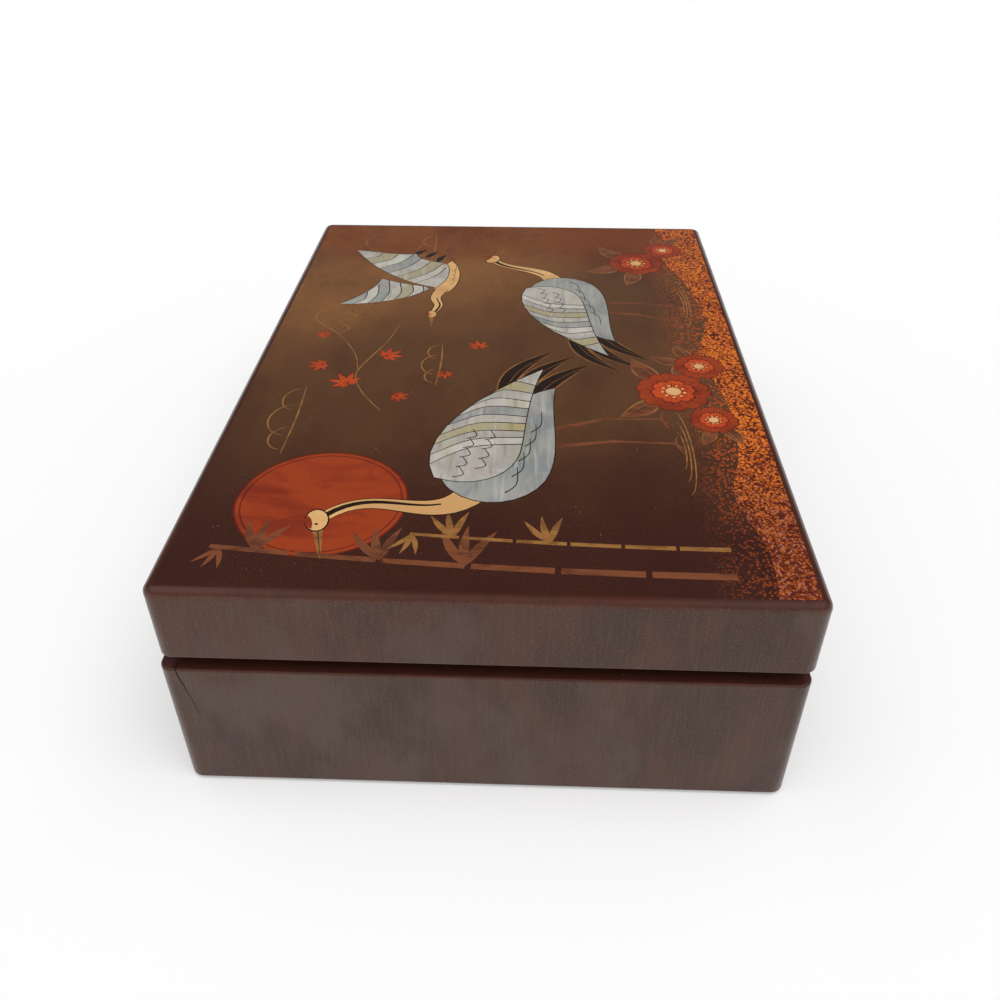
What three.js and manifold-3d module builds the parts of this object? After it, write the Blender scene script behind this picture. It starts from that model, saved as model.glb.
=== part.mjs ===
// Lacquered wooden jewelry box with a hinged lid, a sliding tray and shell inlay on the lid.
// Millimetres. X runs along the box, Y across it with the hinges at +Y, Z is up.
// The origin is the middle of the underside, on the surface that the box stands on.

import * as THREE from 'three';
import { mergeVertices } from 'three/addons/utils/BufferGeometryUtils.js';
import Module from 'manifold-3d';

const wasm = await Module();
wasm.setup();

// Outer sizes
const boxLength = 260;
const boxWidth = 178;
const baseHeight = 46.6;
const lidHeight = 24;
const rimGap = 4.6;
const lidBackInset = 1.2;

// Boards and their rounded edges
const wallThickness = 8;
const lidPanelThickness = 6;
const cornerRadius = 4;
const lidTopRadius = 2.5;
const edgeRadius = 1;
const floorThickness = 4;
const floorRabbet = 3;
const feltThickness = 1;
const feltInset = 3;

// Clearances
const fitGap = 0.3;
const lipClearance = 0.5;
const slideClearance = 0.5;

// Lining boards, whose top edge is the lip that locates the lid
const linerThickness = 3;
const lipHeight = 2.5;

// Lower compartments
const floorPadThickness = 4;
const dividerThickness = 3;
const runnerTopHeight = 22;
const runnerWidth = 5;
const runnerHeight = 4;

// Sliding tray
const trayLength = 118;
const trayHeight = 22;
const trayBoard = 3;
const trayPadThickness = 3;
const fingerNotchRadius = 11;
const fingerNotchLift = 3.7;
const rollCount = 4;
const rollDiameter = 14;
const rollFlat = 0.8;

// Mirror in the lid
const liningThickness = 1.5;
const mirrorLength = 190;
const mirrorWidth = 108;
const mirrorThickness = 3;
const beadWidth = 7;
const beadHeight = 5;
const beadOverlap = 2;

// Hinges
const hingeFromEnd = 55;
const hingeInset = 2.3;
const leafLength = 30;
const leafThickness = 1.5;
const leafMargin = 0.2;
const knuckleRadius = 1.9;
const middleKnuckle = 10;
const pinRadius = 0.6;
const screwSpacing = 20;
const screwHeadRadius = 1;
const screwShankRadius = 0.6;
const screwHeadDepth = 0.6;
const screwLength = 8;

// How finely round shapes are divided
const screwSides = 8;
const pinSides = 10;
const boreSides = 12;
const knuckleSides = 16;
const notchSides = 20;
const cornerSteps = 4;
const rollSides = 14;
const curveSteps = 9;
const lowerEdgeSteps = 3;
const upperEdgeSteps = 4;

// Shell inlay
const shellThickness = 0.5;

// Levels and inner faces that follow from the sizes above
const baseBottom = feltThickness;
const floorTop = baseBottom + floorThickness;
const rimLevel = baseBottom + baseHeight;
const lidBottom = rimLevel + rimGap;
const lidTop = lidBottom + lidHeight;
const panelUnderside = lidTop - lidPanelThickness;
const halfLength = boxLength / 2;
const halfWidth = boxWidth / 2;
const lidBackFace = halfWidth - lidBackInset;
const innerX = halfLength - wallThickness;
const innerY = halfWidth - wallThickness;
const roomX = innerX - linerThickness;
const roomY = innerY - linerThickness;
const lipTop = lidBottom + lipHeight;
const hingeX = halfLength - hingeFromEnd;
const hingeY = halfWidth - hingeInset;
const hingeZ = rimLevel + rimGap / 2;
const leafWidth = wallThickness - lipClearance - hingeInset - leafMargin;
const screwOffsetY = -(leafWidth + knuckleRadius + fitGap) / 2;

// How far a cutting block or rod reaches past what it cuts
const overshoot = 1;

// Finishes
function finish(color, roughness, metalness = 0) {
  return new THREE.MeshStandardMaterial({ color, roughness, metalness });
}

const blackBrownLacquer = () => finish(0x2e1a14, 0.15);
const innerLacquer = () => finish(0x1c100d, 0.3);
const brass = () => finish(0xb08a45, 0.35, 1);
const velvet = () => finish(0x6e1420, 0.95);
const shell = () => finish(0xb9bcb6, 0.25);

// Turns a closed geometry into a solid that can be cut and joined.
function toSolid(geometry) {
  const bare = geometry.clone();
  bare.deleteAttribute('normal');
  bare.deleteAttribute('uv');
  const merged = mergeVertices(bare, 1e-5);
  return new wasm.Manifold(new wasm.Mesh({
    numProp: 3,
    vertProperties: new Float32Array(merged.attributes.position.array),
    triVerts: new Uint32Array(merged.index.array),
  }));
}

// Turns a solid back into a geometry.
function toGeometry(solid) {
  const mesh = solid.getMesh();
  const geometry = new THREE.BufferGeometry();
  geometry.setAttribute('position', new THREE.BufferAttribute(new Float32Array(mesh.vertProperties), 3));
  geometry.setIndex(new THREE.BufferAttribute(new Uint32Array(mesh.triVerts), 1));
  geometry.computeVertexNormals();
  return geometry;
}

// A named mesh of one geometry.
function piece(name, geometry, material) {
  const mesh = new THREE.Mesh(geometry, material);
  mesh.name = name;
  return mesh;
}

// A box between two values on each axis, as a geometry in place.
function blockGeometry([x0, x1], [y0, y1], [z0, z1]) {
  const geometry = new THREE.BoxGeometry(x1 - x0, y1 - y0, z1 - z0);
  return geometry.translate((x0 + x1) / 2, (y0 + y1) / 2, (z0 + z1) / 2);
}

const blockSolid = (xs, ys, zs) => toSolid(blockGeometry(xs, ys, zs));

// A plain board, placed by its position.
function board(name, [x0, x1], [y0, y1], [z0, z1], material) {
  const mesh = piece(name, new THREE.BoxGeometry(x1 - x0, y1 - y0, z1 - z0), material);
  mesh.position.set((x0 + x1) / 2, (y0 + y1) / 2, (z0 + z1) / 2);
  return mesh;
}

// The outline of a rectangle with round corners, drawn in by an inset.
function roundedOutline([x0, x1], [y0, y1], radius, inset) {
  const r = radius - inset;
  const centres = [
    [x1 - radius, y1 - radius, 0],
    [x0 + radius, y1 - radius, 1],
    [x0 + radius, y0 + radius, 2],
    [x1 - radius, y0 + radius, 3],
  ];
  const points = [];
  for (const [cx, cy, quarter] of centres) {
    for (let i = 0; i <= cornerSteps; i += 1) {
      const angle = (quarter + i / cornerSteps) * Math.PI / 2;
      points.push([cx + r * Math.cos(angle), cy + r * Math.sin(angle)]);
    }
  }
  return points;
}

// A block with round upright corners and rounded lower and upper edges.
function roundedBlock(xs, ys, [z0, z1], radius, lowerEdge, upperEdge) {
  const rings = [];
  for (let i = 0; i <= lowerEdgeSteps; i += 1) {
    const angle = i / lowerEdgeSteps * Math.PI / 2;
    rings.push([lowerEdge * (1 - Math.sin(angle)), z0 + lowerEdge * (1 - Math.cos(angle))]);
  }
  for (let i = 0; i <= upperEdgeSteps; i += 1) {
    const angle = i / upperEdgeSteps * Math.PI / 2;
    rings.push([upperEdge * (1 - Math.cos(angle)), z1 - upperEdge * (1 - Math.sin(angle))]);
  }
  const positions = [];
  let count = 0;
  for (const [inset, z] of rings) {
    const outline = roundedOutline(xs, ys, radius, inset);
    count = outline.length;
    for (const [x, y] of outline) {
      positions.push(x, y, z);
    }
  }
  const faces = [];
  for (let ring = 0; ring < rings.length - 1; ring += 1) {
    for (let i = 0; i < count; i += 1) {
      const a = ring * count + i;
      const b = ring * count + (i + 1) % count;
      faces.push(a, b, b + count, a, b + count, a + count);
    }
  }
  const last = (rings.length - 1) * count;
  for (let i = 1; i < count - 1; i += 1) {
    faces.push(0, i + 1, i);
    faces.push(last, last + i, last + i + 1);
  }
  const geometry = new THREE.BufferGeometry();
  geometry.setAttribute('position', new THREE.Float32BufferAttribute(positions, 3));
  geometry.setIndex(faces);
  return geometry;
}

// Four boards glued into a frame: the front and back ones run full length, the end ones fit between.
function frameBoards(prefix, suffix, ring, [x0, x1], [y0, y1], [z0, z1], material) {
  const wide = boxLength;
  const parts = [
    ['front', [-wide, wide], [-wide, y0]],
    ['back', [-wide, wide], [y1, wide]],
    ['left', [-wide, x0], [y0, y1]],
    ['right', [x1, wide], [y0, y1]],
  ];
  return parts.map(([side, xs, ys]) => {
    const solid = ring.intersect(blockSolid(xs, ys, [z0, z1]));
    return piece(`${prefix}_${side}_${suffix}`, toGeometry(solid), material());
  });
}

// Pilot holes for the hinge screws, from a rim into the board behind it.
function pilotHoles(solid, level, direction) {
  let result = solid;
  for (const [x, y] of screwPlaces()) {
    const depth = screwLength + fitGap;
    const hole = new THREE.CylinderGeometry(
      screwShankRadius + fitGap,
      screwShankRadius + fitGap,
      depth + overshoot,
      screwSides,
    );
    hole.rotateX(Math.PI / 2);
    hole.translate(x, y, level + direction * (depth - overshoot) / 2);
    result = result.subtract(toSolid(hole));
  }
  return result;
}

// The four places along the back where a leaf is screwed down.
function screwPlaces() {
  const places = [];
  for (const side of [-1, 1]) {
    for (const end of [-1, 1]) {
      places.push([side * hingeX + end * screwSpacing / 2, hingeY + screwOffsetY]);
    }
  }
  return places;
}

// Base carcass
function makeBase() {
  const group = new THREE.Group();
  const outer = toSolid(roundedBlock(
    [-halfLength, halfLength],
    [-halfWidth, halfWidth],
    [baseBottom, rimLevel],
    cornerRadius,
    edgeRadius,
    edgeRadius,
  ));
  const room = blockSolid([-innerX, innerX], [-innerY, innerY], [0, lidTop]);
  const rabbetX = innerX + floorRabbet;
  const rabbetY = innerY + floorRabbet;
  const recess = blockSolid([-rabbetX, rabbetX], [-rabbetY, rabbetY], [0, floorTop]);
  const ring = pilotHoles(outer.subtract(room).subtract(recess), rimLevel, -1);
  const walls = frameBoards(
    'base',
    'wall',
    ring,
    [-innerX, innerX],
    [-innerY, innerY],
    [0, lidTop],
    blackBrownLacquer,
  );
  group.add(...walls);
  group.add(board(
    'base_floor',
    [-rabbetX, rabbetX],
    [-rabbetY, rabbetY],
    [baseBottom, floorTop],
    innerLacquer(),
  ));
  const feltX = halfLength - feltInset;
  const feltY = halfWidth - feltInset;
  group.add(board('base_felt', [-feltX, feltX], [-feltY, feltY], [0, feltThickness], velvet()));
  return group;
}

// Lining boards inside the walls
function makeLiners() {
  const group = new THREE.Group();
  const heights = [floorTop, lipTop];
  group.add(board('liner_front', [-innerX, innerX], [-innerY, -roomY], heights, innerLacquer()));
  group.add(board('liner_back', [-innerX, innerX], [roomY, innerY], heights, innerLacquer()));
  group.add(board('liner_left', [-innerX, -roomX], [-roomY, roomY], heights, innerLacquer()));
  group.add(board('liner_right', [roomX, innerX], [-roomY, roomY], heights, innerLacquer()));
  return group;
}

const runnerTop = floorTop + runnerTopHeight;
const runnerBottom = runnerTop - runnerHeight;
const dividerBottom = floorTop + fitGap + floorPadThickness + fitGap;
const dividerTop = runnerBottom - fitGap;

// Pad, crossed dividers and the runners that carry the tray
function makeLowerRoom() {
  const group = new THREE.Group();
  const padX = roomX - fitGap;
  const padY = roomY - fitGap;
  const padBottom = floorTop + fitGap;
  group.add(board(
    'floor_pad',
    [-padX, padX],
    [-padY, padY],
    [padBottom, padBottom + floorPadThickness],
    velvet(),
  ));

  const half = dividerThickness / 2;
  const slotHalf = half + fitGap;
  const middle = (dividerBottom + dividerTop) / 2;
  const heights = [dividerBottom, dividerTop];
  const crossSlot = [middle - fitGap / 2, lidTop];
  const longSlot = [0, middle + fitGap / 2];
  const cross = blockSolid([-half, half], [-padY, padY], heights)
    .subtract(blockSolid([-boxLength, boxLength], [-slotHalf, slotHalf], crossSlot));
  const long = blockSolid([-padX, padX], [-half, half], heights)
    .subtract(blockSolid([-slotHalf, slotHalf], [-boxWidth, boxWidth], longSlot));
  group.add(piece('cross_divider', toGeometry(cross), velvet()));
  group.add(piece('long_divider', toGeometry(long), velvet()));

  for (const [side, y0, y1] of [
    ['front', -roomY, -roomY + runnerWidth],
    ['back', roomY - runnerWidth, roomY],
  ]) {
    const levels = [runnerBottom, runnerTop];
    group.add(board(`runner_${side}`, [-roomX, roomX], [y0, y1], levels, innerLacquer()));
  }
  return group;
}

// Tray that slides along the box on the runners, with a bay for rings and a bay with a pad
function makeTray() {
  const group = new THREE.Group();
  const x0 = -roomX + slideClearance;
  const x1 = x0 + trayLength;
  const y1 = roomY - slideClearance;
  const z0 = runnerTop + fitGap;
  const z1 = z0 + trayHeight;
  const inX0 = x0 + trayBoard;
  const inX1 = x1 - trayBoard;
  const inY = y1 - trayBoard;
  const trayFloorTop = z0 + trayBoard;
  group.add(board('tray_floor', [inX0, inX1], [-inY, inY], [z0, trayFloorTop], velvet()));
  group.add(board('tray_front', [x0, x1], [-y1, -inY], [z0, z1], velvet()));
  group.add(board('tray_back', [x0, x1], [inY, y1], [z0, z1], velvet()));
  group.add(board('tray_left', [x0, inX0], [-inY, inY], [z0, z1], velvet()));

  const notch = new THREE.CylinderGeometry(fingerNotchRadius, fingerNotchRadius, 4 * trayBoard, notchSides);
  notch.rotateZ(Math.PI / 2);
  notch.translate((inX1 + x1) / 2, 0, z1 + fingerNotchLift);
  const pull = blockSolid([inX1, x1], [-inY, inY], [z0, z1]).subtract(toSolid(notch));
  group.add(piece('tray_right', toGeometry(pull), velvet()));

  const rollPitch = rollDiameter + fitGap;
  const ringBay = rollCount * rollPitch + fitGap;
  const dividerY1 = inY - ringBay;
  const dividerY0 = dividerY1 - trayBoard;
  group.add(board(
    'tray_divider',
    [inX0 + fitGap, inX1 - fitGap],
    [dividerY0, dividerY1],
    [trayFloorTop, trayFloorTop + rollDiameter],
    velvet(),
  ));
  group.add(board(
    'tray_pad',
    [inX0 + fitGap, inX1 - fitGap],
    [-inY + fitGap, dividerY0 - fitGap],
    [trayFloorTop + fitGap, trayFloorTop + fitGap + trayPadThickness],
    velvet(),
  ));
  for (let i = 0; i < rollCount; i += 1) {
    const roll = piece(`ring_roll_${i + 1}`, rollGeometry(inX1 - inX0 - 2 * fitGap), velvet());
    const y = dividerY1 + fitGap + rollDiameter / 2 + i * rollPitch;
    roll.position.set((inX0 + inX1) / 2, y, trayFloorTop + fitGap + rollDiameter / 2 - rollFlat);
    group.add(roll);
  }
  return group;
}

// A round bolster along X, flat where it lies on the tray.
function rollGeometry(length) {
  const radius = rollDiameter / 2;
  const flatAngle = Math.acos((radius - rollFlat) / radius);
  const outline = new THREE.Shape();
  for (let i = 0; i < rollSides; i += 1) {
    const angle = flatAngle + (2 * Math.PI - 2 * flatAngle) * i / (rollSides - 1);
    const u = radius * Math.sin(angle);
    const v = -radius * Math.cos(angle);
    if (i === 0) {
      outline.moveTo(u, v);
    } else {
      outline.lineTo(u, v);
    }
  }
  const geometry = new THREE.ExtrudeGeometry(outline, { depth: length, bevelEnabled: false });
  geometry.translate(0, 0, -length / 2);
  geometry.rotateX(Math.PI / 2);
  geometry.rotateZ(Math.PI / 2);
  return geometry;
}

// One leaf of a hinge, with the pin's axis at its origin along X.
function leafSolid(isLid) {
  const side = isLid ? 1 : -1;
  const half = leafLength / 2;
  const middle = middleKnuckle / 2;
  const seat = side * rimGap / 2;
  const top = seat - side * leafThickness;
  const levels = [Math.min(seat, top), Math.max(seat, top)];
  const clear = knuckleRadius + fitGap;
  const outside = leafLength;
  const split = middle + fitGap;
  const own = isLid ? [[-middle, middle]] : [[-half, -split], [split, half]];
  const others = isLid ? [[-outside, -middle], [middle, outside]] : [[-split, split]];
  let solid = blockSolid([-half, half], [-leafWidth, 0], levels);
  for (const [from, to] of others) {
    solid = solid.subtract(blockSolid([from, to], [-clear, clear], [-clear, clear]));
  }
  for (const [from, to] of own) {
    solid = solid.add(toSolid(rod(knuckleRadius, from, to, knuckleSides)));
  }
  solid = solid.subtract(toSolid(rod(pinRadius + fitGap, -outside, outside, boreSides)));
  for (const x of [-screwSpacing / 2, screwSpacing / 2]) {
    const cutter = toSolid(screwGeometry(fitGap));
    const turned = isLid ? cutter.rotate([180, 0, 0]) : cutter;
    solid = solid.subtract(turned.translate([x, screwOffsetY, top]));
  }
  return solid;
}

// A round rod along X.
function rod(radius, x0, x1, sides) {
  const geometry = new THREE.CylinderGeometry(radius, radius, x1 - x0, sides);
  return geometry.rotateZ(Math.PI / 2).translate((x0 + x1) / 2, 0, 0);
}

// A countersunk screw pointing down, with the top of its head at the origin; grow widens it into a cutter.
function screwGeometry(grow) {
  const above = grow > 0 ? 1 : 0;
  const head = screwHeadRadius + grow;
  const shank = screwShankRadius + grow;
  const end = -screwLength - grow;
  const profile = [
    new THREE.Vector2(0, end),
    new THREE.Vector2(shank, end + screwShankRadius),
    new THREE.Vector2(shank, -screwHeadDepth),
    new THREE.Vector2(head, 0),
    new THREE.Vector2(head, above * leafThickness),
    new THREE.Vector2(0, above * leafThickness),
  ];
  const outline = above ? profile : [...profile.slice(0, 4), new THREE.Vector2(0, 0)];
  return new THREE.LatheGeometry(outline, screwSides).rotateX(Math.PI / 2);
}

const baseLeafTop = -rimGap / 2 + leafThickness;

// Leaves, pins and screws of the hinges that belong to the base or to the lid
function makeHinges(isLid) {
  const group = new THREE.Group();
  const body = isLid ? 'lid' : 'base';
  for (const [side, sign] of [['left', -1], ['right', 1]]) {
    const hinge = new THREE.Group();
    hinge.position.set(sign * hingeX, hingeY, hingeZ);
    hinge.add(piece(`${body}_hinge_leaf_${side}`, toGeometry(leafSolid(isLid)), brass()));
    if (!isLid) {
      const pin = rod(pinRadius, -leafLength / 2, leafLength / 2, pinSides);
      hinge.add(piece(`hinge_pin_${side}`, pin, brass()));
    }
    for (const [order, x] of [['a', -screwSpacing / 2], ['b', screwSpacing / 2]]) {
      const screw = piece(`${body}_screw_${side}_${order}`, screwGeometry(0), brass());
      screw.rotation.x = isLid ? Math.PI : 0;
      screw.position.set(x, screwOffsetY, isLid ? -baseLeafTop : baseLeafTop);
      hinge.add(screw);
    }
    group.add(hinge);
  }
  return group;
}

// Outlines of the shell pieces, each a closed run of curves: two handles and an end point.
const standingBody = {
  start: [-19, 13],
  curves: [
    [-30, 6, -27, -9, -14, -14],
    [-2, -19, 16, -18, 30, -22],
    [26, -8, 8, 12, -6, 15],
    [-11, 16, -16, 15, -19, 13],
  ],
};
const standingWing = {
  start: [-13, 17],
  curves: [
    [4, 22, 26, 6, 42, -20],
    [24, -12, 6, -10, -4, -7],
    [-14, -4, -20, 6, -13, 17],
  ],
};
const flyingNearWing = {
  start: [-11, 3],
  curves: [
    [-6, 18, 8, 34, 32, 46],
    [30, 34, 26, 26, 28, 16],
    [20, 14, 20, 8, 16, 0],
    [8, -3, -4, -2, -11, 3],
  ],
};
const flyingFarWing = {
  start: [-13, 6],
  curves: [
    [-22, 12, -30, 26, -30, 44],
    [-22, 36, -12, 30, -2, 29],
    [-6, 22, -9, 14, -10, 8],
    [-11, 7, -12, 6, -13, 6],
  ],
};

// Where the birds stand on the lid: place, size, which way they face, turn in degrees.
const cranes = [
  { name: 'tall_crane', x: -60, y: 0, size: 1.12, facing: 1, turn: 8 },
  { name: 'low_crane', x: 44, y: -24, size: 0.98, facing: -1, turn: -6 },
];
const flyingCrane = { name: 'flying_crane', x: 68, y: 26, size: 0.9, facing: 1, turn: 0 };

// Points of an outline on the lid, going round to the left.
function outlinePoints(outline, bird) {
  const path = new THREE.Path();
  path.moveTo(...outline.start);
  for (const curve of outline.curves) {
    path.bezierCurveTo(...curve);
  }
  const turn = bird.turn * Math.PI / 180;
  const points = path.getPoints(curveSteps).slice(0, -1).map(({ x, y }) => {
    const u = x * bird.size * bird.facing;
    const v = y * bird.size;
    return new THREE.Vector2(
      bird.x + u * Math.cos(turn) - v * Math.sin(turn),
      bird.y + u * Math.sin(turn) + v * Math.cos(turn),
    );
  });
  return THREE.ShapeUtils.area(points) > 0 ? points : points.reverse();
}

// An outline moved outwards by a distance; a sharp tip moves by no more than twice that.
function grown(points, distance) {
  const leastSpread = 0.5;
  return points.map((point, i) => {
    const before = points[(i + points.length - 1) % points.length];
    const after = points[(i + 1) % points.length];
    const inward = point.clone().sub(before).normalize();
    const onward = after.clone().sub(point).normalize();
    const normal = new THREE.Vector2(inward.y + onward.y, -inward.x - onward.x).normalize();
    const spread = Math.max(leastSpread, normal.dot(new THREE.Vector2(inward.y, -inward.x)));
    return point.clone().addScaledVector(normal, distance / spread);
  });
}

// A flat plate of an outline between two levels.
function plate(points, z0, z1) {
  const extent = { depth: z1 - z0, bevelEnabled: false };
  const geometry = new THREE.ExtrudeGeometry(new THREE.Shape(points), extent);
  return toSolid(geometry.translate(0, 0, z0));
}

// The shell pieces and the pockets that they lie in.
function makeInlay() {
  const pieces = [];
  let pockets = null;
  const levels = [lidTop - shellThickness, lidTop];
  const cutLevels = [levels[0] - fitGap, lidTop + overshoot];
  const addPiece = (name, points, neighbour) => {
    let solid = plate(points, ...levels);
    if (neighbour) {
      solid = solid.subtract(plate(grown(neighbour, fitGap), ...cutLevels));
    }
    pieces.push(piece(name, toGeometry(solid), shell()));
    const pocket = plate(grown(points, fitGap), ...cutLevels);
    pockets = pockets ? pockets.add(pocket) : pocket;
  };
  for (const bird of cranes) {
    const wing = outlinePoints(standingWing, bird);
    addPiece(`shell_${bird.name}_body`, outlinePoints(standingBody, bird), wing);
    addPiece(`shell_${bird.name}_wing`, wing);
  }
  addPiece(`shell_${flyingCrane.name}_near_wing`, outlinePoints(flyingNearWing, flyingCrane));
  addPiece(`shell_${flyingCrane.name}_far_wing`, outlinePoints(flyingFarWing, flyingCrane));
  return { pieces, pockets };
}

// Lid panel, rails and shell inlay
function makeLidShell() {
  const group = new THREE.Group();
  const outer = toSolid(roundedBlock(
    [-halfLength, halfLength],
    [-halfWidth, lidBackFace],
    [lidBottom, lidTop],
    cornerRadius,
    edgeRadius,
    lidTopRadius,
  ));
  const far = boxLength;
  const inlay = makeInlay();
  const panel = outer.intersect(blockSolid([-far, far], [-far, far], [panelUnderside, lidTop + far]));
  group.add(piece('lid_panel', toGeometry(panel.subtract(inlay.pockets)), blackBrownLacquer()));
  const cavityX = innerX + lipClearance;
  const cavityY = innerY + lipClearance;
  const cavity = blockSolid([-cavityX, cavityX], [-cavityY, cavityY], [0, panelUnderside]);
  const ring = pilotHoles(outer.subtract(cavity), lidBottom, 1);
  group.add(...frameBoards(
    'lid',
    'rail',
    ring,
    [-cavityX, cavityX],
    [-cavityY, cavityY],
    [0, panelUnderside],
    blackBrownLacquer,
  ));
  group.add(...inlay.pieces);
  return group;
}

// Lining, mirror and the beads that hold it under the lid
function makeLidInside() {
  const group = new THREE.Group();
  const liningX = innerX + lipClearance - fitGap;
  const liningY = innerY + lipClearance - fitGap;
  const liningTop = panelUnderside - fitGap;
  const liningBottom = liningTop - liningThickness;
  group.add(board(
    'lid_lining',
    [-liningX, liningX],
    [-liningY, liningY],
    [liningBottom, liningTop],
    velvet(),
  ));
  const backing = liningBottom - fitGap;
  const mirrorX = mirrorLength / 2;
  const mirrorY = mirrorWidth / 2;
  group.add(board(
    'mirror',
    [-mirrorX, mirrorX],
    [-mirrorY, mirrorY],
    [backing - mirrorThickness, backing],
    finish(0xdfe4e8, 0.03, 1),
  ));
  const openX = mirrorX - beadOverlap;
  const openY = mirrorY - beadOverlap;
  const outX = openX + beadWidth;
  const outY = openY + beadWidth;
  const pocketX = mirrorX + fitGap;
  const pocketY = mirrorY + fitGap;
  const frame = blockSolid([-outX, outX], [-outY, outY], [backing - beadHeight, backing])
    .subtract(blockSolid([-openX, openX], [-openY, openY], [0, lidTop]))
    .subtract(blockSolid(
      [-pocketX, pocketX],
      [-pocketY, pocketY],
      [backing - mirrorThickness - fitGap, lidTop],
    ));
  group.add(...frameBoards(
    'mirror',
    'bead',
    frame,
    [-openX, openX],
    [-openY, openY],
    [0, lidTop],
    innerLacquer,
  ));
  return group;
}

const box = new THREE.Group();
box.name = 'lacquer_jewelry_box';

const base = new THREE.Group();
base.name = 'base';
base.add(makeBase(), makeLiners(), makeLowerRoom(), makeHinges(false));

const lid = new THREE.Group();
lid.name = 'lid';
lid.add(makeLidShell(), makeLidInside(), makeHinges(true));

const tray = makeTray();
tray.name = 'tray';

box.add(base, lid, tray);

export default box;
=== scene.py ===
import bisect
import random
from math import cos, exp, hypot, pi, radians, sin, sqrt

import bmesh
import bpy
from mathutils import Matrix, Vector, geometry, noise


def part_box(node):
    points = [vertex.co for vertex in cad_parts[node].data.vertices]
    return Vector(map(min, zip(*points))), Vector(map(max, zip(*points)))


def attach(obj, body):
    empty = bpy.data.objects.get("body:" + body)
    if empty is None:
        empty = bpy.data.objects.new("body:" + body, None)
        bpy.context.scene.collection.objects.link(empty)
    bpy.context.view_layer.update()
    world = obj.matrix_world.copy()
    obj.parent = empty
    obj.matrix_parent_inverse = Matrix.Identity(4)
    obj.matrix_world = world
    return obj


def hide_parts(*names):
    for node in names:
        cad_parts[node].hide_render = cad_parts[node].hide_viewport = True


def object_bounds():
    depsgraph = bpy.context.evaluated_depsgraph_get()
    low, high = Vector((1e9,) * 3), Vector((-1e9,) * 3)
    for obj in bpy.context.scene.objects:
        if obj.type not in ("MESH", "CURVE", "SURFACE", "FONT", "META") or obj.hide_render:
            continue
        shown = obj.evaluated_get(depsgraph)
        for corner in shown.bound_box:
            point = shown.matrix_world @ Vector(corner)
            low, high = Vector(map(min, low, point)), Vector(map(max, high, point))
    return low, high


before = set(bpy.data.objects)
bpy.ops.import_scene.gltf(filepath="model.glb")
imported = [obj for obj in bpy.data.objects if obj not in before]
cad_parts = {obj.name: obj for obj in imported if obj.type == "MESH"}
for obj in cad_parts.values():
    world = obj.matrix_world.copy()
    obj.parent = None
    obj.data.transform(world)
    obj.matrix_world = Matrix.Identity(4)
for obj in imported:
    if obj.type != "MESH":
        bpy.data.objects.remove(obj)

cad_low, cad_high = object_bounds()
random.seed(11)

SIDES = ("front", "back", "left", "right")

# Sizes in metres, beside those read off the CAD parts
MM = 0.001
CORNER_RADIUS = 4 * MM
LID_TOP_RADIUS = 2.5 * MM
EDGE_RADIUS = 0.8 * MM
INNER_EDGE = 0.35 * MM
INNER_CORNER = 0.4 * MM
PICTURE_INSET = 2.9 * MM
PICTURE_THICKNESS = 0.5 * MM
PICTURE_CLEARANCE = 0.05 * MM
CRACK_START = 5.0 * MM
CRACK_SLOPE = 0.20
CRACK_LENGTH = 18.0 * MM
CRACK_DEPTH = 0.5 * MM
CRACK_WIDTH = 0.34 * MM
CRACK_TIP_WIDTH = 0.08 * MM
CRACK_STEPS = 21
FLOOR_REACH = 12.0
WELD_DISTANCE = 0.001 * MM
SAME_PLACE = 1e-7

# How worn the lacquer is: on a rounded edge, beside one and on the inner rims
EDGE_WEAR = 1.0
SIDE_WEAR = 0.35
RIM_WEAR = 0.5

# Which triangles delaunay_2d_cdt gives
WHOLE_HULL = 0
INSIDE_ONLY = 1

# For the picture, in its own millimetres
SHELL_SEAM = 0.352
NECK_STEPS = 18
WING_STEPS = 100

# The photograph's camera, in the part's frame
CAMERA_PLACE = Vector((-302.0, -11.2, 236.6)) * MM
CAMERA_YAW = 0.03719
CAMERA_PITCH = 0.64238
CAMERA_ROLL = 0.00139
FOCAL_PIXELS = 931.1
IMAGE_PIXELS = 1000
SENSOR_WIDTH = 36.0

# How far the lit floor's own tone lies below the white backdrop
FLOOR_SHORTFALL = 0.20

# Colours
LACQUER_BROWN = (0.069, 0.0250, 0.0125)
LACQUER_RED = (0.088, 0.0245, 0.0115)
LACQUER_DARK = (0.041, 0.0170, 0.0095)
# Grey of smudged lacquer, which also stands for painted reflection of the floor
LACQUER_GREY_SMUDGE_AND_REFLECTION = (0.081, 0.0450, 0.0315)
# Maroon painted on faces that look up or down, as their dark reflection
LACQUER_MAROON_PAINTED_DARK_REFLECTION = (0.060, 0.0190, 0.0130)
LACQUER_FIBRE = (0.140, 0.078, 0.060)
LACQUER_HAZE = (0.142, 0.084, 0.061)
LACQUER_WORN = (0.150, 0.036, 0.017)
GRAIN_COARSE = (0.30, 0.23, 0.18)
GRAIN_FINE = (0.22, 0.16, 0.125)
GRAIN_PICTURE = (0.36, 0.27, 0.21)
CRACK_BLACK = (0.004, 0.002, 0.002)
CRACK_GRIME = ((0.004, 0.002, 0.0015), (0.016, 0.007, 0.004))
GROUND_NEAR = (0.047, 0.0125, 0.0090)
GROUND_MIDDLE = (0.116, 0.049, 0.0200)
GROUND_HAZE = (0.225, 0.092, 0.0300)
GROUND_FAR = (0.190, 0.042, 0.0070)
GOLD_DUST = (0.46, 0.21, 0.060)
STIPPLE_BRIGHT = (0.86, 0.225, 0.022)
STIPPLE_ORANGE = (0.50, 0.092, 0.017)
STIPPLE_MAROON = (0.105, 0.017, 0.0090)
STIPPLE_PINK = (0.62, 0.21, 0.13)
SHELL_PALE = (0.60, 0.56, 0.49)
SHELL_MIDDLE = (0.45, 0.43, 0.39)
SHELL_GREY = (0.29, 0.31, 0.305)
SHELL_YELLOW = (0.47, 0.40, 0.21)
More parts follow.
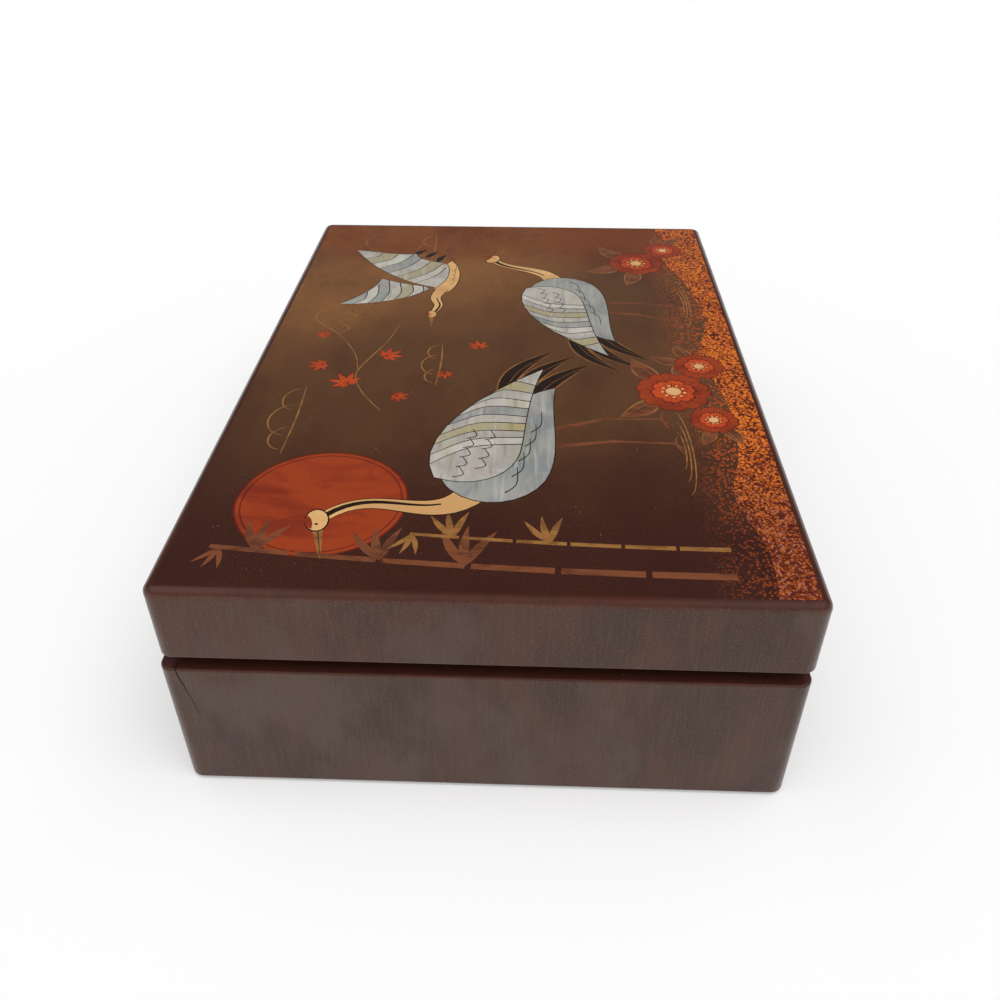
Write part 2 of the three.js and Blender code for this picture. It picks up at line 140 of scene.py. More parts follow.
SHELL_ROSE = (0.46, 0.35, 0.30)
SHELL_BROWN = (0.22, 0.155, 0.100)
SHELL_WHITE = (0.66, 0.65, 0.62)
INNER_BROWNS = ((0.096, 0.049, 0.038), (0.150, 0.080, 0.063))
INNER_DUST = (0.20, 0.14, 0.10)
SHEEN_TINT = (0.95, 0.42, 0.38)
LINT = (0.55, 0.40, 0.36)
FELT_GREYS = ((0.020, 0.017, 0.016), (0.065, 0.056, 0.050))
BRASS_YELLOW = (0.72, 0.49, 0.20)
BRASS_TARNISH = (0.33, 0.19, 0.075)
BRASS_RUBBED = (0.85, 0.65, 0.33)
SLOT_BROWNS = ((0.07, 0.045, 0.025), (0.22, 0.14, 0.06))
MIRROR_CLEAR = (0.88, 0.90, 0.90)
MIRROR_SMEARED = (0.80, 0.82, 0.82)


# Surfaces

class Nodes:
    """A node tree with short ways to add to it; its patterns follow one texture coordinate."""

    def __init__(self, tree, coordinate):
        self.tree = tree
        self.coordinates = self.node("TexCoord").outputs
        self.place = self.coordinates[coordinate]

    def feed(self, socket, value):
        """Links an input to a socket, or sets it to a number or colour."""
        if isinstance(value, bpy.types.NodeSocket):
            self.tree.links.new(value, socket)
            return
        if socket.type == "RGBA":
            value = (*value, 1.0) if isinstance(value, tuple) else (value, value, value, 1.0)
        socket.default_value = value

    def node(self, kind, inputs=(), **settings):
        node = self.tree.nodes.new("ShaderNode" + kind)
        for key, value in settings.items():
            setattr(node, key, value)
        for name, value in dict(inputs).items():
            self.feed(node.inputs[name], value)
        return node

    def noise(self, scale, detail=3.0, roughness=0.55, stretch=(1, 1, 1), distortion=0.0, turn=0.0):
        """Cloudy noise over the place, scaled along each axis and turned about Z."""
        mapped = self.node("Mapping", {"Vector": self.place, "Scale": stretch, "Rotation": (0, 0, turn)})
        inputs = {"Vector": mapped.outputs["Vector"], "Scale": scale, "Detail": detail}
        inputs.update({"Roughness": roughness, "Distortion": distortion})
        return self.node("TexNoise", inputs).outputs["Fac"]

    def dots(self, scale):
        """Scattered cells as a random number for each and the distance from its middle."""
        cells = self.node("TexVoronoi", {"Vector": self.place, "Scale": scale}).outputs
        pick = self.node("SeparateColor", {"Color": cells["Color"]}).outputs["Red"]
        return pick, cells["Distance"]

    def math(self, operation, a, b=0.0):
        return self.node("Math", {0: a, 1: b}, operation=operation).outputs[0]

    def times(self, a, b):
        return self.math("MULTIPLY", a, b)

    def plus(self, a, b):
        return self.math("ADD", a, b)

    def minus(self, a, b):
        return self.math("SUBTRACT", a, b)

    def size(self, value):
        return self.math("ABSOLUTE", value)

    def axis(self, name, vector=None):
        return self.node("SeparateXYZ", {"Vector": vector or self.place}).outputs[name]

    def span(self, value, low, high, kind="SMOOTHSTEP"):
        """0 below low and 1 above high, or the other way round if low is above high."""
        inputs = {"Value": value, "From Min": low, "From Max": high}
        return self.node("MapRange", inputs, interpolation_type=kind).outputs["Result"]

    def mix(self, factor, a, b):
        return self.node("Mix", {0: factor, 6: a, 7: b}, data_type="RGBA").outputs[2]

    def fade(self, value, low, high, a, b):
        """One tone below low and another above high, evenly mixed between them."""
        return self.mix(self.span(value, low, high, "LINEAR"), a, b)

    def layer(self, tone, colour, pattern, low, high, amount=1.0):
        """A tone with a share of a colour over it, where a pattern goes from low to high."""
        return self.mix(self.times(self.span(pattern, low, high), amount), tone, colour)

    def grains(self, tone, colour, scale, patches, amount):
        """A tone with sparse specks of dust that gather in patches."""
        pick, distance = self.dots(scale)
        speck = self.math("LESS_THAN", distance, self.times(self.span(pick, 0.45, 1.0), 0.085))
        speck = self.times(speck, self.span(self.noise(patches, detail=2), 0.40, 0.60))
        return self.mix(self.times(speck, amount), tone, colour)


class Surface(Nodes):
    """A Principled material; the names of its inputs are given with _ for each space."""

    def __init__(self, name, **inputs):
        self.material = bpy.data.materials.new(name)
        self.material.use_nodes = True
        super().__init__(self.material.node_tree, "Object")
        self.shader = self.tree.nodes["Principled BSDF"]
        self.set(**inputs)

    def set(self, **inputs):
        """Sets or links inputs of the shader, and returns the material."""
        for name, value in inputs.items():
            self.feed(self.shader.inputs[name.replace("_", " ")], value)
        return self.material

    def bump(self, height, strength, distance, coat=False):
        node = self.node("Bump", {"Height": height, "Strength": strength, "Distance": distance})
        self.set(Normal=node.outputs["Normal"])
        if coat:
            self.set(Coat_Normal=node.outputs["Normal"])


def clear_lacquer(name, roughness=0.35, coat=1.0, coat_roughness=0.035, specular=0.08):
    """A surface with a polished clear coat."""
    return Surface(name, Roughness=roughness, Specular_IOR_Level=specular, Coat_Weight=coat,
                   Coat_Roughness=coat_roughness, Coat_IOR=1.5)


def polished(surface, tone):
    """Gives a lacquer its colour and the faint waves of hand polishing, which make reflections wander."""
    height = surface.mix(0.12, surface.noise(38, detail=2), surface.noise(260, detail=2))
    surface.bump(height, 0.12, 0.0006, coat=True)
    return surface.set(Base_Color=tone)


def carcass_lacquer():
    """Brown lacquer with soft vertical smudged streaks and grey patches, both partly painted reflection of
    the floor; painted maroon where it faces up or down, as its dark reflection; and one hairline crack.
    """
    surface = clear_lacquer("lacquer", coat=0.52, coat_roughness=0.055)
    # Vertical streaks: partly smudged lacquer, partly painted reflection streaks of the floor
    smudges_and_reflection_streaks = surface.noise(44, detail=3, stretch=(1, 1, 0.42), distortion=0.8)
    grey_smudge_and_reflection_patches = surface.noise(27, detail=4, stretch=(1, 1, 0.7))
    fibres = surface.noise(1300, detail=2, stretch=(1, 1, 0.04))
    tone = surface.layer(LACQUER_DARK, LACQUER_BROWN, smudges_and_reflection_streaks, 0.38, 0.60)
    # Grey patches: partly smudged lacquer, partly painted reflection of the pale floor
    tone = surface.layer(tone, LACQUER_GREY_SMUDGE_AND_REFLECTION, grey_smudge_and_reflection_patches, 0.46, 0.62, 0.80)
    tone = surface.layer(tone, LACQUER_RED, grey_smudge_and_reflection_patches, 0.44, 0.28, 0.30)
    tone = surface.layer(tone, LACQUER_FIBRE, fibres, 0.45, 0.70, 0.16)
    tone = surface.layer(tone, LACQUER_HAZE, surface.noise(1500, detail=3), 0.46, 0.68, 0.32)
    # Faces that look up or down are painted maroon as their dark reflection; vertical faces keep the grey
    # painted reflection of the floor
    level_faces_for_painted_reflection = surface.size(surface.axis("Z", surface.coordinates["Normal"]))
    tone = surface.layer(tone, LACQUER_MAROON_PAINTED_DARK_REFLECTION, level_faces_for_painted_reflection, 0.30, 0.75)
    wear = surface.times(surface.node("Attribute", attribute_name="wear").outputs["Fac"], 0.16)
    tone = surface.layer(tone, LACQUER_WORN, surface.noise(120, detail=4), 0.30, 0.60, wear)
    tone = surface.grains(tone, GRAIN_COARSE, 330, 60, 0.6)
    tone = surface.grains(tone, GRAIN_FINE, 700, 33, 0.7)
    crack = hairline(surface)
    broad = surface.noise(34, detail=2, stretch=(1, 1, 0.4))
    brush = surface.noise(520, detail=2, stretch=(1, 1, 0.05))
    height = surface.mix(crack, surface.mix(0.035, broad, brush), 0.0)
    surface.bump(height, 0.22, 0.0006, coat=True)
    roughness = surface.fade(surface.noise(60, detail=3), 0.3, 0.7, 0.28, 0.48)
    return surface.set(Base_Color=surface.mix(crack, tone, CRACK_BLACK), Roughness=roughness)


def hairline(surface):
    """The start of the near end's crack, where it crosses the rim's rounded edge."""
    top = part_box("base_back_wall")[1]
    drop = surface.minus(top.z, surface.axis("Z"))
    offset = surface.minus(top.y - CRACK_START, surface.axis("Y"))
    offset = surface.size(surface.minus(offset, surface.times(drop, CRACK_SLOPE)))
    across = surface.span(offset, 0.24 * MM, 0.10 * MM)
    length = surface.span(drop, 1.6 * MM, 1.0 * MM)
    near = surface.span(surface.axis("X"), cad_low.x + 3.0 * MM, cad_low.x + 2.2 * MM)
    return surface.times(surface.times(across, length), near)


def picture_ground():
    """The lid picture's ground: maroon at the near end, then olive brown, gold dust and rust."""
    surface = clear_lacquer("picture_ground")
    x, y = surface.axis("X"), surface.axis("Y")
    drift = surface.times(surface.minus(surface.noise(18, detail=4), 0.5), 0.07)
    along = surface.plus(x, drift)
    tone = surface.layer(GROUND_NEAR, GROUND_MIDDLE, along, -0.108, -0.025)
    haze = surface.span(surface.plus(along, surface.times(y, 0.35)), 0.005, 0.075)
    haze = surface.times(haze, surface.span(y, -0.055, 0.010))
    tone = surface.mix(haze, tone, GROUND_HAZE)
    tone = surface.layer(tone, GROUND_FAR, along, 0.062, 0.112)
    clouds = surface.noise(30, detail=5, roughness=0.6, stretch=(0.6, 1.3, 1))
    tone = surface.layer(tone, GROUND_NEAR, clouds, 0.42, 0.7, 0.40)
    tone = surface.mix(gold_dust(surface, haze), tone, GOLD_DUST)
    spill = surface.plus(surface.span(y, -0.050, -0.086), surface.times(drift, 6.0))
    dabs = surface.times(stipple(surface, 0.55, 1300), surface.span(spill, 0.05, 0.75))
    brightness = surface.plus(surface.times(surface.span(x, -0.112, -0.045), 0.55), 0.45)
    tone = surface.mix(surface.times(dabs, brightness), tone, STIPPLE_ORANGE)
    return polished(surface, surface.grains(tone, GRAIN_PICTURE, 400, 45, 0.6))


def gold_dust(surface, haze):
    """Fine sprinkled grains, thick in the haze and thin elsewhere."""
    amount = surface.plus(surface.times(haze, 0.70), 0.10)
    amount = surface.times(amount, surface.span(surface.noise(45, detail=4), 0.30, 0.62))
    return surface.times(surface.span(surface.noise(2600, detail=1), 0.52, 0.66), amount)


def stipple(surface, threshold, scale):
    """Dabbed dots; scale is how many lie along a metre."""
    pick, distance = surface.dots(scale)
    drift = surface.times(surface.minus(surface.noise(110, detail=3), 0.5), 0.9)
    shown = surface.math("GREATER_THAN", surface.plus(pick, drift), threshold)
    return surface.times(shown, surface.span(distance, 0.62, 0.45))


def shore_paint():
    """The stippled shore: bright and dull orange dabs over maroon, thinner at the near end."""
    surface = clear_lacquer("shore_stipple")
    near = surface.times(surface.span(surface.axis("X"), -0.045, -0.112), 0.68)
    dull = surface.minus(stipple(surface, 0.22, 900), near)
    tone = surface.fade(dull, 0.0, 1.0, STIPPLE_MAROON, STIPPLE_ORANGE)
    bright = surface.minus(stipple(surface, 0.46, 1250), near)
    tone = surface.fade(bright, 0.0, 0.9, tone, STIPPLE_BRIGHT)
    pink = surface.times(stipple(surface, 0.72, 1400), near)
    return polished(surface, surface.mix(pink, tone, STIPPLE_PINK))


def painted(name, colour, darker, scale=90):
    """Brushed paint with darker strokes and small pits."""
    surface = clear_lacquer("paint_" + name)
    strokes = surface.noise(scale, detail=5, stretch=(1, 0.45, 1), distortion=0.8, turn=0.5)
    tone = surface.layer(colour, darker, strokes, 0.42, 0.66, 0.75)
    return polished(surface, surface.layer(tone, darker, surface.noise(1500, detail=2), 0.56, 0.72, 0.35))


def shell_surface(name, main, second, turn, yellow=0.35):
    """Mother-of-pearl with growth lines along the pane and drifting tints."""
    surface = clear_lacquer(name, roughness=0.3, specular=0.6)
    tint = surface.noise(85, detail=2, stretch=(1, 1.6, 1))
    lines = surface.noise(260, detail=4, stretch=(0.25, 2.4, 1), distortion=0.4, turn=turn)
    tone = surface.layer(main, second, surface.noise(70, detail=3, distortion=0.8), 0.38, 0.62)
    tone = surface.layer(tone, SHELL_YELLOW, tint, 0.52, 0.68, yellow)
    tone = surface.layer(tone, SHELL_ROSE, tint, 0.46, 0.30, 0.35)
    tone = surface.layer(tone, SHELL_WHITE, lines, 0.50, 0.75, 0.55)
    return polished(surface, surface.layer(tone, SHELL_BROWN, lines, 0.45, 0.25, 0.60))


def inner_lacquer():
    """Satin brown lacquer brushed over the lining boards."""
    surface = Surface("inner_lacquer")
    grain = surface.noise(160, detail=4, stretch=(0.08, 0.08, 1))
    surface.bump(grain, 0.25, 0.0003)
    tone = surface.layer(*INNER_BROWNS, grain, 0.35, 0.7)
    tone = surface.layer(tone, INNER_DUST, surface.noise(1300, detail=2), 0.66, 0.74, 0.4)
    return surface.set(Base_Color=tone, Roughness=surface.fade(surface.noise(80), 0.3, 0.7, 0.30, 0.48))


def velvet(name, colour, deep):
    """Short pile with a sheen, brushed patches and a little lint."""
    surface = Surface(name, Roughness=0.95, Specular_IOR_Level=0.1, Sheen_Weight=0.55, Sheen_Roughness=0.4,
                      Sheen_Tint=SHEEN_TINT)
    patches = surface.noise(30, detail=3, stretch=(1, 0.5, 1), distortion=0.4)
    pile = surface.noise(1100, detail=4, roughness=0.7)
    surface.bump(pile, 0.7, 0.0005)
    tone = surface.layer(colour, deep, patches, 0.36, 0.66, 0.5)
    tone = surface.layer(tone, deep, pile, 0.42, 0.62, 0.55)
    return surface.set(Base_Color=surface.grains(tone, LINT, 300, 40, 0.45))


def felt():
    surface = Surface("felt", Roughness=1.0, Specular_IOR_Level=0.1, Sheen_Weight=0.3)
    fibres = surface.noise(1500, detail=5, distortion=1.5)
    surface.bump(fibres, 0.7, 0.0005)
    return surface.set(Base_Color=surface.fade(fibres, 0.35, 0.7, *FELT_GREYS))


def brass():
    """Stamped brass with brushed lines, browned patches and bright rubbed spots."""
    surface = Surface("brass", Metallic=1.0)
    lines = surface.noise(900, detail=2, stretch=(0.05, 1, 1))
    tarnish = surface.noise(190, detail=4)
    surface.bump(lines, 0.3, 0.00008)
    tone = surface.layer(BRASS_YELLOW, BRASS_TARNISH, tarnish, 0.42, 0.68)
    tone = surface.layer(tone, BRASS_RUBBED, lines, 0.5, 0.8, 0.4)
    return surface.set(Base_Color=tone, Roughness=surface.fade(tarnish, 0.35, 0.7, 0.24, 0.5))


def mirror_glass():
    """Silvered glass with a few wipe marks and dust."""
    surface = Surface("mirror", Metallic=1.0)
    smears = surface.noise(22, detail=5, distortion=2.0)
    dust = surface.span(surface.noise(1100, detail=1), 0.72, 0.80)
    rough = surface.plus(surface.times(surface.span(smears, 0.5, 0.8), 0.05), 0.015)
    return surface.set(
        Roughness=surface.plus(rough, surface.times(dust, 0.3)),
        Base_Color=surface.layer(MIRROR_CLEAR, MIRROR_SMEARED, smears, 0.4, 0.8),
    )


def dull_between_tones(name, tones, **inputs):
    """A dull surface between two dark tones."""
    surface = Surface(name, **inputs)
    return surface.set(Base_Color=surface.fade(surface.noise(900, detail=3), 0.35, 0.7, *tones))


finishes = {
    "lacquer": carcass_lacquer(),
    "ground": picture_ground(),
    "shore": shore_paint(),
    "red": painted("red", (0.37, 0.052, 0.0130), (0.20, 0.022, 0.0100)),
    "vermilion": painted("vermilion", (0.64, 0.085, 0.0180), (0.40, 0.045, 0.0120)),
    "deep": painted("deep_red", (0.15, 0.018, 0.0090), (0.07, 0.010, 0.0060)),
    "cream": painted("cream", (0.84, 0.50, 0.205), (0.62, 0.33, 0.130), 60),
    "gold": painted("gold", (0.36, 0.165, 0.045), (0.16, 0.062, 0.022), 300),
    "line": painted("line", (0.23, 0.073, 0.030), (0.085, 0.028, 0.015), 200),
    "dark": painted("dark", (0.022, 0.010, 0.0070), (0.012, 0.006, 0.0045), 200),
    "shell_light": shell_surface("shell_light", SHELL_PALE, (0.70, 0.67, 0.60), 0.35),
    "shell_mid": shell_surface("shell_mid", SHELL_MIDDLE, SHELL_PALE, 0.9),
    "shell_dark": shell_surface("shell_dark", SHELL_GREY, (0.40, 0.40, 0.37), -0.3, 0.2),
    "shell_olive": shell_surface("shell_olive", SHELL_YELLOW, (0.46, 0.42, 0.29), 0.6, 0.6),
    "inner": inner_lacquer(),
    "velvet": velvet("velvet", (0.20, 0.012, 0.022), (0.075, 0.004, 0.009)),
    "board_velvet": velvet("board_velvet", (0.165, 0.010, 0.019), (0.06, 0.0035, 0.008)),
    "felt": felt(),
    "brass": brass(),
    "mirror": mirror_glass(),
    # The screw slots get a dull brown, darker than the brass
    "screw_slot": dull_between_tones("screw_slot", SLOT_BROWNS, Roughness=0.6, Metallic=0.8),
    "crack": dull_between_tones("crack", CRACK_GRIME, Roughness=1.0, Specular_IOR_Level=0.0),
}


# Mesh helpers

def show(name, mesh):
    """A new object in the scene."""
    piece = bpy.data.objects.new(name, mesh)
    bpy.context.scene.collection.objects.link(piece)
    return piece


def build(name, verts, faces, paints, indices=None, sharp=32):
    """A new object from points and faces; indices say which of the paints each face has."""
    mesh = bpy.data.meshes.new(name)
    mesh.from_pydata([tuple(v) for v in verts], [], faces)
    for paint in paints:
        mesh.materials.append(finishes[paint])
    if indices:
        mesh.polygons.foreach_set("material_index", indices)
    mesh.validate()
    mesh.shade_smooth()
    if sharp is not None:
        mesh.set_sharp_from_angle(angle=radians(sharp))
    return show(name, mesh)


def settle(piece, body, slot, *nodes):
    """Joins a finished piece to its body and hides the CAD nodes that it stands for; slot is not used."""
    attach(piece, body)
    if nodes:
        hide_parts(*nodes)


def even_normals(piece):
    """Lets the large flat faces keep their own direction beside small rounded ones."""
    modifier = piece.modifiers.new("even normals", "WEIGHTED_NORMAL")
    modifier.keep_sharp = True
    modifier.weight = 80


def placer(cx, cy, turn):
    """A function that turns a point about the origin and moves it to a centre."""
    c, s = cos(turn), sin(turn)
    return lambda p, q: (cx + p * c - q * s, cy + p * s + q * c)


def pairs_round(points):
    """Each point with the next one, all the way round."""
    return list(zip(points, points[1:] + points[:1]))


def wound(flat, triangle, way):
    """A triangle's corners, going left if way is 1 and right if it is -1."""
    a, b, c = (flat[v] for v in triangle)
    corners = list(triangle)
    if (b - a).cross(c - a) * way < 0:
        corners.reverse()
    return corners


def open_edges(edges):
    """The edges that no neighbour shares, in a fixed order."""
    return [(p, q) for p, q in sorted(edges) if (q, p) not in edges]


def middle(a, b, right=0.0, up=0.0):
    """The point halfway between two, moved by a distance."""
    return ((a[0] + b[0]) / 2 + right, (a[1] + b[1]) / 2 + up)


def rounded_rectangle(rect, inset, radius, steps=8):
    """Points round a rectangle drawn in by an inset, going left, with round corners."""
    x0, x1, y0, y1 = rect
    r = max(radius - inset, INNER_CORNER)
    x0, x1, y0, y1 = x0 + inset, x1 - inset, y0 + inset, y1 - inset
    centres = [(x1 - r, y1 - r), (x0 + r, y1 - r), (x0 + r, y0 + r), (x1 - r, y0 + r)]
    points = []
    for quarter, (cx, cy) in enumerate(centres):
        for i in range(steps + 1):
            angle = (quarter + i / steps) * pi / 2
            points.append((cx + r * cos(angle), cy + r * sin(angle)))
    return points


def ring(rect, inset, corner, level, wear=0):
    """One ring of a lofted skin: its points, its level and how worn it is."""
    return rounded_rectangle(rect, inset, corner), level, wear


def quarter_round(rect, radius, z, inward, upward, steps=6):
    """Rings round a rounded edge, from the side (inward false) or from the flat face (inward true).

    z is the level of the flat face; upward is 1 for an edge at the top and -1 for one below.
    """
    rings = []
    for i in range(steps + 1):
        angle = i / steps * pi / 2
        if inward:
            angle = pi / 2 - angle
        inset = radius * (1 - cos(angle))
        level = z - upward * radius * (1 - sin(angle))
        rings.append(ring(rect, inset, CORNER_RADIUS, level, EDGE_WEAR if 0 < i < steps else SIDE_WEAR))
    return rings


def loft(rings, closed):
    """Points, faces and wear of a skin over rings of equal length, in a loop or with flat ends."""
    count = len(rings[0][0])
    verts = [(x, y, z) for points, z, _ in rings for x, y in points]
    wear = [amount for _, _, amount in rings for _ in range(count)]
    faces = []
    for k in range(len(rings) if closed else len(rings) - 1):
        low = k * count
        high = (k + 1) % len(rings) * count
        for i in range(count):
            j = (i + 1) % count
            faces.append((low + i, low + j, high + j, high + i))
    if not closed:
        faces.append(tuple(range(count))[::-1])
        faces.append(tuple(range(len(verts) - count, len(verts))))
    return verts, faces, wear


def rect_of(*nodes):
    """The outer rectangle of some nodes as (x0, x1, y0, y1)."""
    boxes = [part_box(node) for node in nodes]
    return (
        min(low.x for low, _ in boxes),
        max(high.x for _, high in boxes),
        min(low.y for low, _ in boxes),
        max(high.y for _, high in boxes),
    )


def hollow_of(front, back, left, right):
    """The rectangle between four walls as (x0, x1, y0, y1)."""
    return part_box(left)[1].x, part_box(right)[0].x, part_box(front)[1].y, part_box(back)[0].y


def triangulate(loops, kind, reach=1e-9):
    """Delaunay triangles of some closed loops, and their centres sorted by x."""
    points = []
    faces = []
    for loop in loops:
        faces.append(list(range(len(points), len(points) + len(loop))))
        points += [Vector(p) for p in loop]
    flat, _, triangles, origins, _, parents = geometry.delaunay_2d_cdt(points, [], faces, kind, reach)
    centres = sorted((*(sum((flat[v] for v in t), Vector((0, 0))) / 3), i) for i, t in enumerate(triangles))
    return flat, triangles, centres, origins, parents


def covered(points, centres):
    """Which of the centres, sorted by x, lie in an outline, counting parts that it goes round twice."""
    edges = pairs_round(points)
    low_y, high_y = min(y for _, y in points), max(y for _, y in points)
    first = bisect.bisect_left(centres, (min(x for x, _ in points),))
    last = bisect.bisect_right(centres, (max(x for x, _ in points),))
    found = []
    for x, y, i in centres[first:last]:
        if not low_y < y < high_y:
            continue
        turns = 0
        for (ax, ay), (bx, by) in edges:
            if (ay <= y) != (by <= y) and ax + (y - ay) * (bx - ax) / (by - ay) > x:
                turns += 1 if by > ay else -1
        if turns:
            found.append(i)
    return found


# Lacquered carcass

def carcass(name, body, nodes, rings, closed, paints=("lacquer",), cut=None):
    """A lofted piece of the carcass; cut may change its points and faces and give their paints."""
    verts, faces, wear = loft(rings, closed)
    indices = cut(verts, faces) if cut else None
    piece = build(name, verts, faces, paints, indices)
    layer = piece.data.attributes.new("wear", "FLOAT", "POINT")
    layer.data.foreach_set("value", wear + [0] * (len(verts) - len(wear)))
    even_normals(piece)
    settle(piece, body, "lacquer", *nodes)


def base_shell():
    """The base's four walls under one coat of lacquer, with the rabbet for its floor."""
    walls = [f"base_{side}_wall" for side in SIDES]
    outer = rect_of(*walls)
    inner = hollow_of(*walls)
    bottom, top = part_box(walls[0])[0].z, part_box(walls[0])[1].z
    floor = rect_of("base_floor")
    floor_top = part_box("base_floor")[1].z
    rings = quarter_round(outer, EDGE_RADIUS, bottom, True, -1)
    rings += quarter_round(outer, EDGE_RADIUS, top, False, 1)
    rings += [
        ring(inner, -INNER_EDGE, INNER_CORNER, top, RIM_WEAR),
        ring(inner, 0, INNER_CORNER, top - INNER_EDGE, RIM_WEAR),
        ring(inner, 0, INNER_CORNER, floor_top),
        ring(floor, 0, INNER_CORNER, floor_top),
        ring(floor, 0, INNER_CORNER, bottom),
    ]
    carcass("base_shell", "base", walls, rings, True, ("lacquer", "crack"),
            lambda verts, faces: crack(verts, faces, outer, top))


def crack(verts, faces, outer, top):
    """Cuts the narrow crack beside the back corner into the near end's flat face."""
    x = outer[0]

    def spans(face, k, least):
        level = [verts[v][k] for v in face]
        return max(level) - min(level) > least

    face = next(f for f in faces if len(f) == 4 and all(abs(verts[v][0] - x) < SAME_PLACE for v in f)
                and spans(f, 1, 0.1) and spans(f, 2, 0.01))
    faces.remove(face)
    centre = []
    for i in range(CRACK_STEPS + 1):
        drop = EDGE_RADIUS + 0.05 * MM + (CRACK_LENGTH - EDGE_RADIUS) * i / CRACK_STEPS
        wander = random.uniform(-0.10, 0.10) * MM if i else 0.0
        centre.append((outer[3] - CRACK_START - CRACK_SLOPE * drop + wander, top - drop))
    groove = ribbon(centre, CRACK_WIDTH, CRACK_TIP_WIDTH)
    rim = [(verts[v][1], verts[v][2]) for v in face]
    flat, triangles, centres, origins, _ = triangulate((rim, groove), WHOLE_HULL)
    deep = set(covered(groove, centres))
    start = len(verts)
    at_rim = {i: face[sources[0]] for i, sources in enumerate(origins) if sources and sources[0] < 4}
    surface = {i: at_rim.get(i, start + i) for i in range(len(flat))}
    verts += [(x, p.x, p.y) for p in flat] + [(x + CRACK_DEPTH, p.x, p.y) for p in flat]
    indices = [0] * len(faces)
    edges = set()
    for i, triangle in enumerate(triangles):
        corners = wound(flat, triangle, -1)
        if i in deep:
            edges.update(pairs_round(corners))
            faces.append(tuple(start + len(flat) + v for v in corners))
        else:
            faces.append(tuple(surface[v] for v in corners))
        indices.append(1 if i in deep else 0)
    for p, q in open_edges(edges):
        faces.append((start + len(flat) + q, start + len(flat) + p, surface[p], surface[q]))
        indices.append(1)
    return indices


lid_rect = rect_of("lid_panel")
lid_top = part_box("lid_panel")[1].z


def lid_shell():
    """The lid's panel and rails under one coat, with a shallow recess where the picture lies."""
    rails = [f"lid_{side}_rail" for side in SIDES]
    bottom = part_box(rails[0])[0].z
    cavity = hollow_of(*rails)
    rings = [
        ring(cavity, 0, INNER_CORNER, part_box("lid_panel")[0].z),
        ring(cavity, 0, INNER_CORNER, bottom + INNER_EDGE, RIM_WEAR),
        ring(cavity, -INNER_EDGE, INNER_CORNER, bottom, RIM_WEAR),
    ]
    rings += quarter_round(lid_rect, EDGE_RADIUS, bottom, True, -1)
    rings += quarter_round(lid_rect, LID_TOP_RADIUS, lid_top, False, 1, steps=8)
    rings += [
        ring(lid_rect, PICTURE_INSET, CORNER_RADIUS, lid_top),
        ring(lid_rect, PICTURE_INSET, CORNER_RADIUS, lid_top - PICTURE_THICKNESS - PICTURE_CLEARANCE),
    ]
    carcass("lid_shell", "lid", ["lid_panel", *rails], rings, False)


# Outlines for the picture, in millimetres

def bezier(p0, p1, p2, p3, steps=12):
    """Points of a cubic curve without its last point."""
    points = []
    for i in range(steps):
        t = i / steps
        s = 1 - t
        weights = (s * s * s, 3 * s * s * t, 3 * s * t * t, t * t * t)
        points.append(tuple(sum(w * p[k] for w, p in zip(weights, (p0, p1, p2, p3))) for k in (0, 1)))
    return points


def smooth(knots, steps=6):
    """An open curve through its knots."""
    points = []
    last = len(knots) - 1
    for i in range(last):
        a, b, c, d = (knots[min(max(k, 0), last)] for k in (i - 1, i, i + 1, i + 2))
        p1 = (b[0] + (c[0] - a[0]) / 6, b[1] + (c[1] - a[1]) / 6)
        p2 = (c[0] - (d[0] - b[0]) / 6, c[1] - (d[1] - b[1]) / 6)
        points += bezier(b, p1, p2, c, steps)
    return points + [knots[-1]]


def ribbon(centre, start_width, end_width=None, belly=0.0):
    """A line of changing width along a run of points."""
    end_width = start_width if end_width is None else end_width
    left = []
    right = []
    last = len(centre) - 1
    for i, (x, y) in enumerate(centre):
        ax, ay = centre[max(i - 1, 0)]
        bx, by = centre[min(i + 1, last)]
        dx, dy = bx - ax, by - ay
        size = hypot(dx, dy)
        t = i / last
        half = 0.5 * (start_width + (end_width - start_width) * t + belly * sin(pi * t))
        left.append((x - dy / size * half, y + dx / size * half))
        right.append((x + dy / size * half, y - dx / size * half))
    return left + right[::-1]


def ellipse(cx, cy, rx, ry, turn, steps):
    at = placer(cx, cy, turn)
    angles = [2 * pi * i / steps for i in range(steps)]
    return [at(rx * cos(angle), ry * sin(angle)) for angle in angles]


def disc(cx, cy, radius, steps):
    return ellipse(cx, cy, radius, radius, 0, steps)


def leaf(base, tip, width, bend=0.0, steps=8):
    """A pointed leaf between two points, bent to its left by a distance."""
    dx, dy = tip[0] - base[0], tip[1] - base[1]
    size = hypot(dx, dy)
    nx, ny = -dy / size, dx / size
    left = []
    right = []
    for i in range(steps + 1):
        t = i / steps
        lift = bend * sin(pi * t)
        half = 0.5 * width * sin(pi * t ** 0.8)
        x, y = base[0] + dx * t + nx * lift, base[1] + dy * t + ny * lift
        left.append((x + nx * half, y + ny * half))
        right.append((x - nx * half, y - ny * half))
    return left + right[-2:0:-1]


# The lid's picture

# Flat shapes in painter's order: points, paint and the shell node that they belong to, if any
shapes = []


def lay(points, paint, owner=None):
    shapes.append((points, paint, owner))


def line(knots, paint, start, end=None, belly=0.0, steps=6):
    """A brushed line through knots, of changing width."""
    lay(ribbon(smooth(knots, steps), start, end, belly), paint)


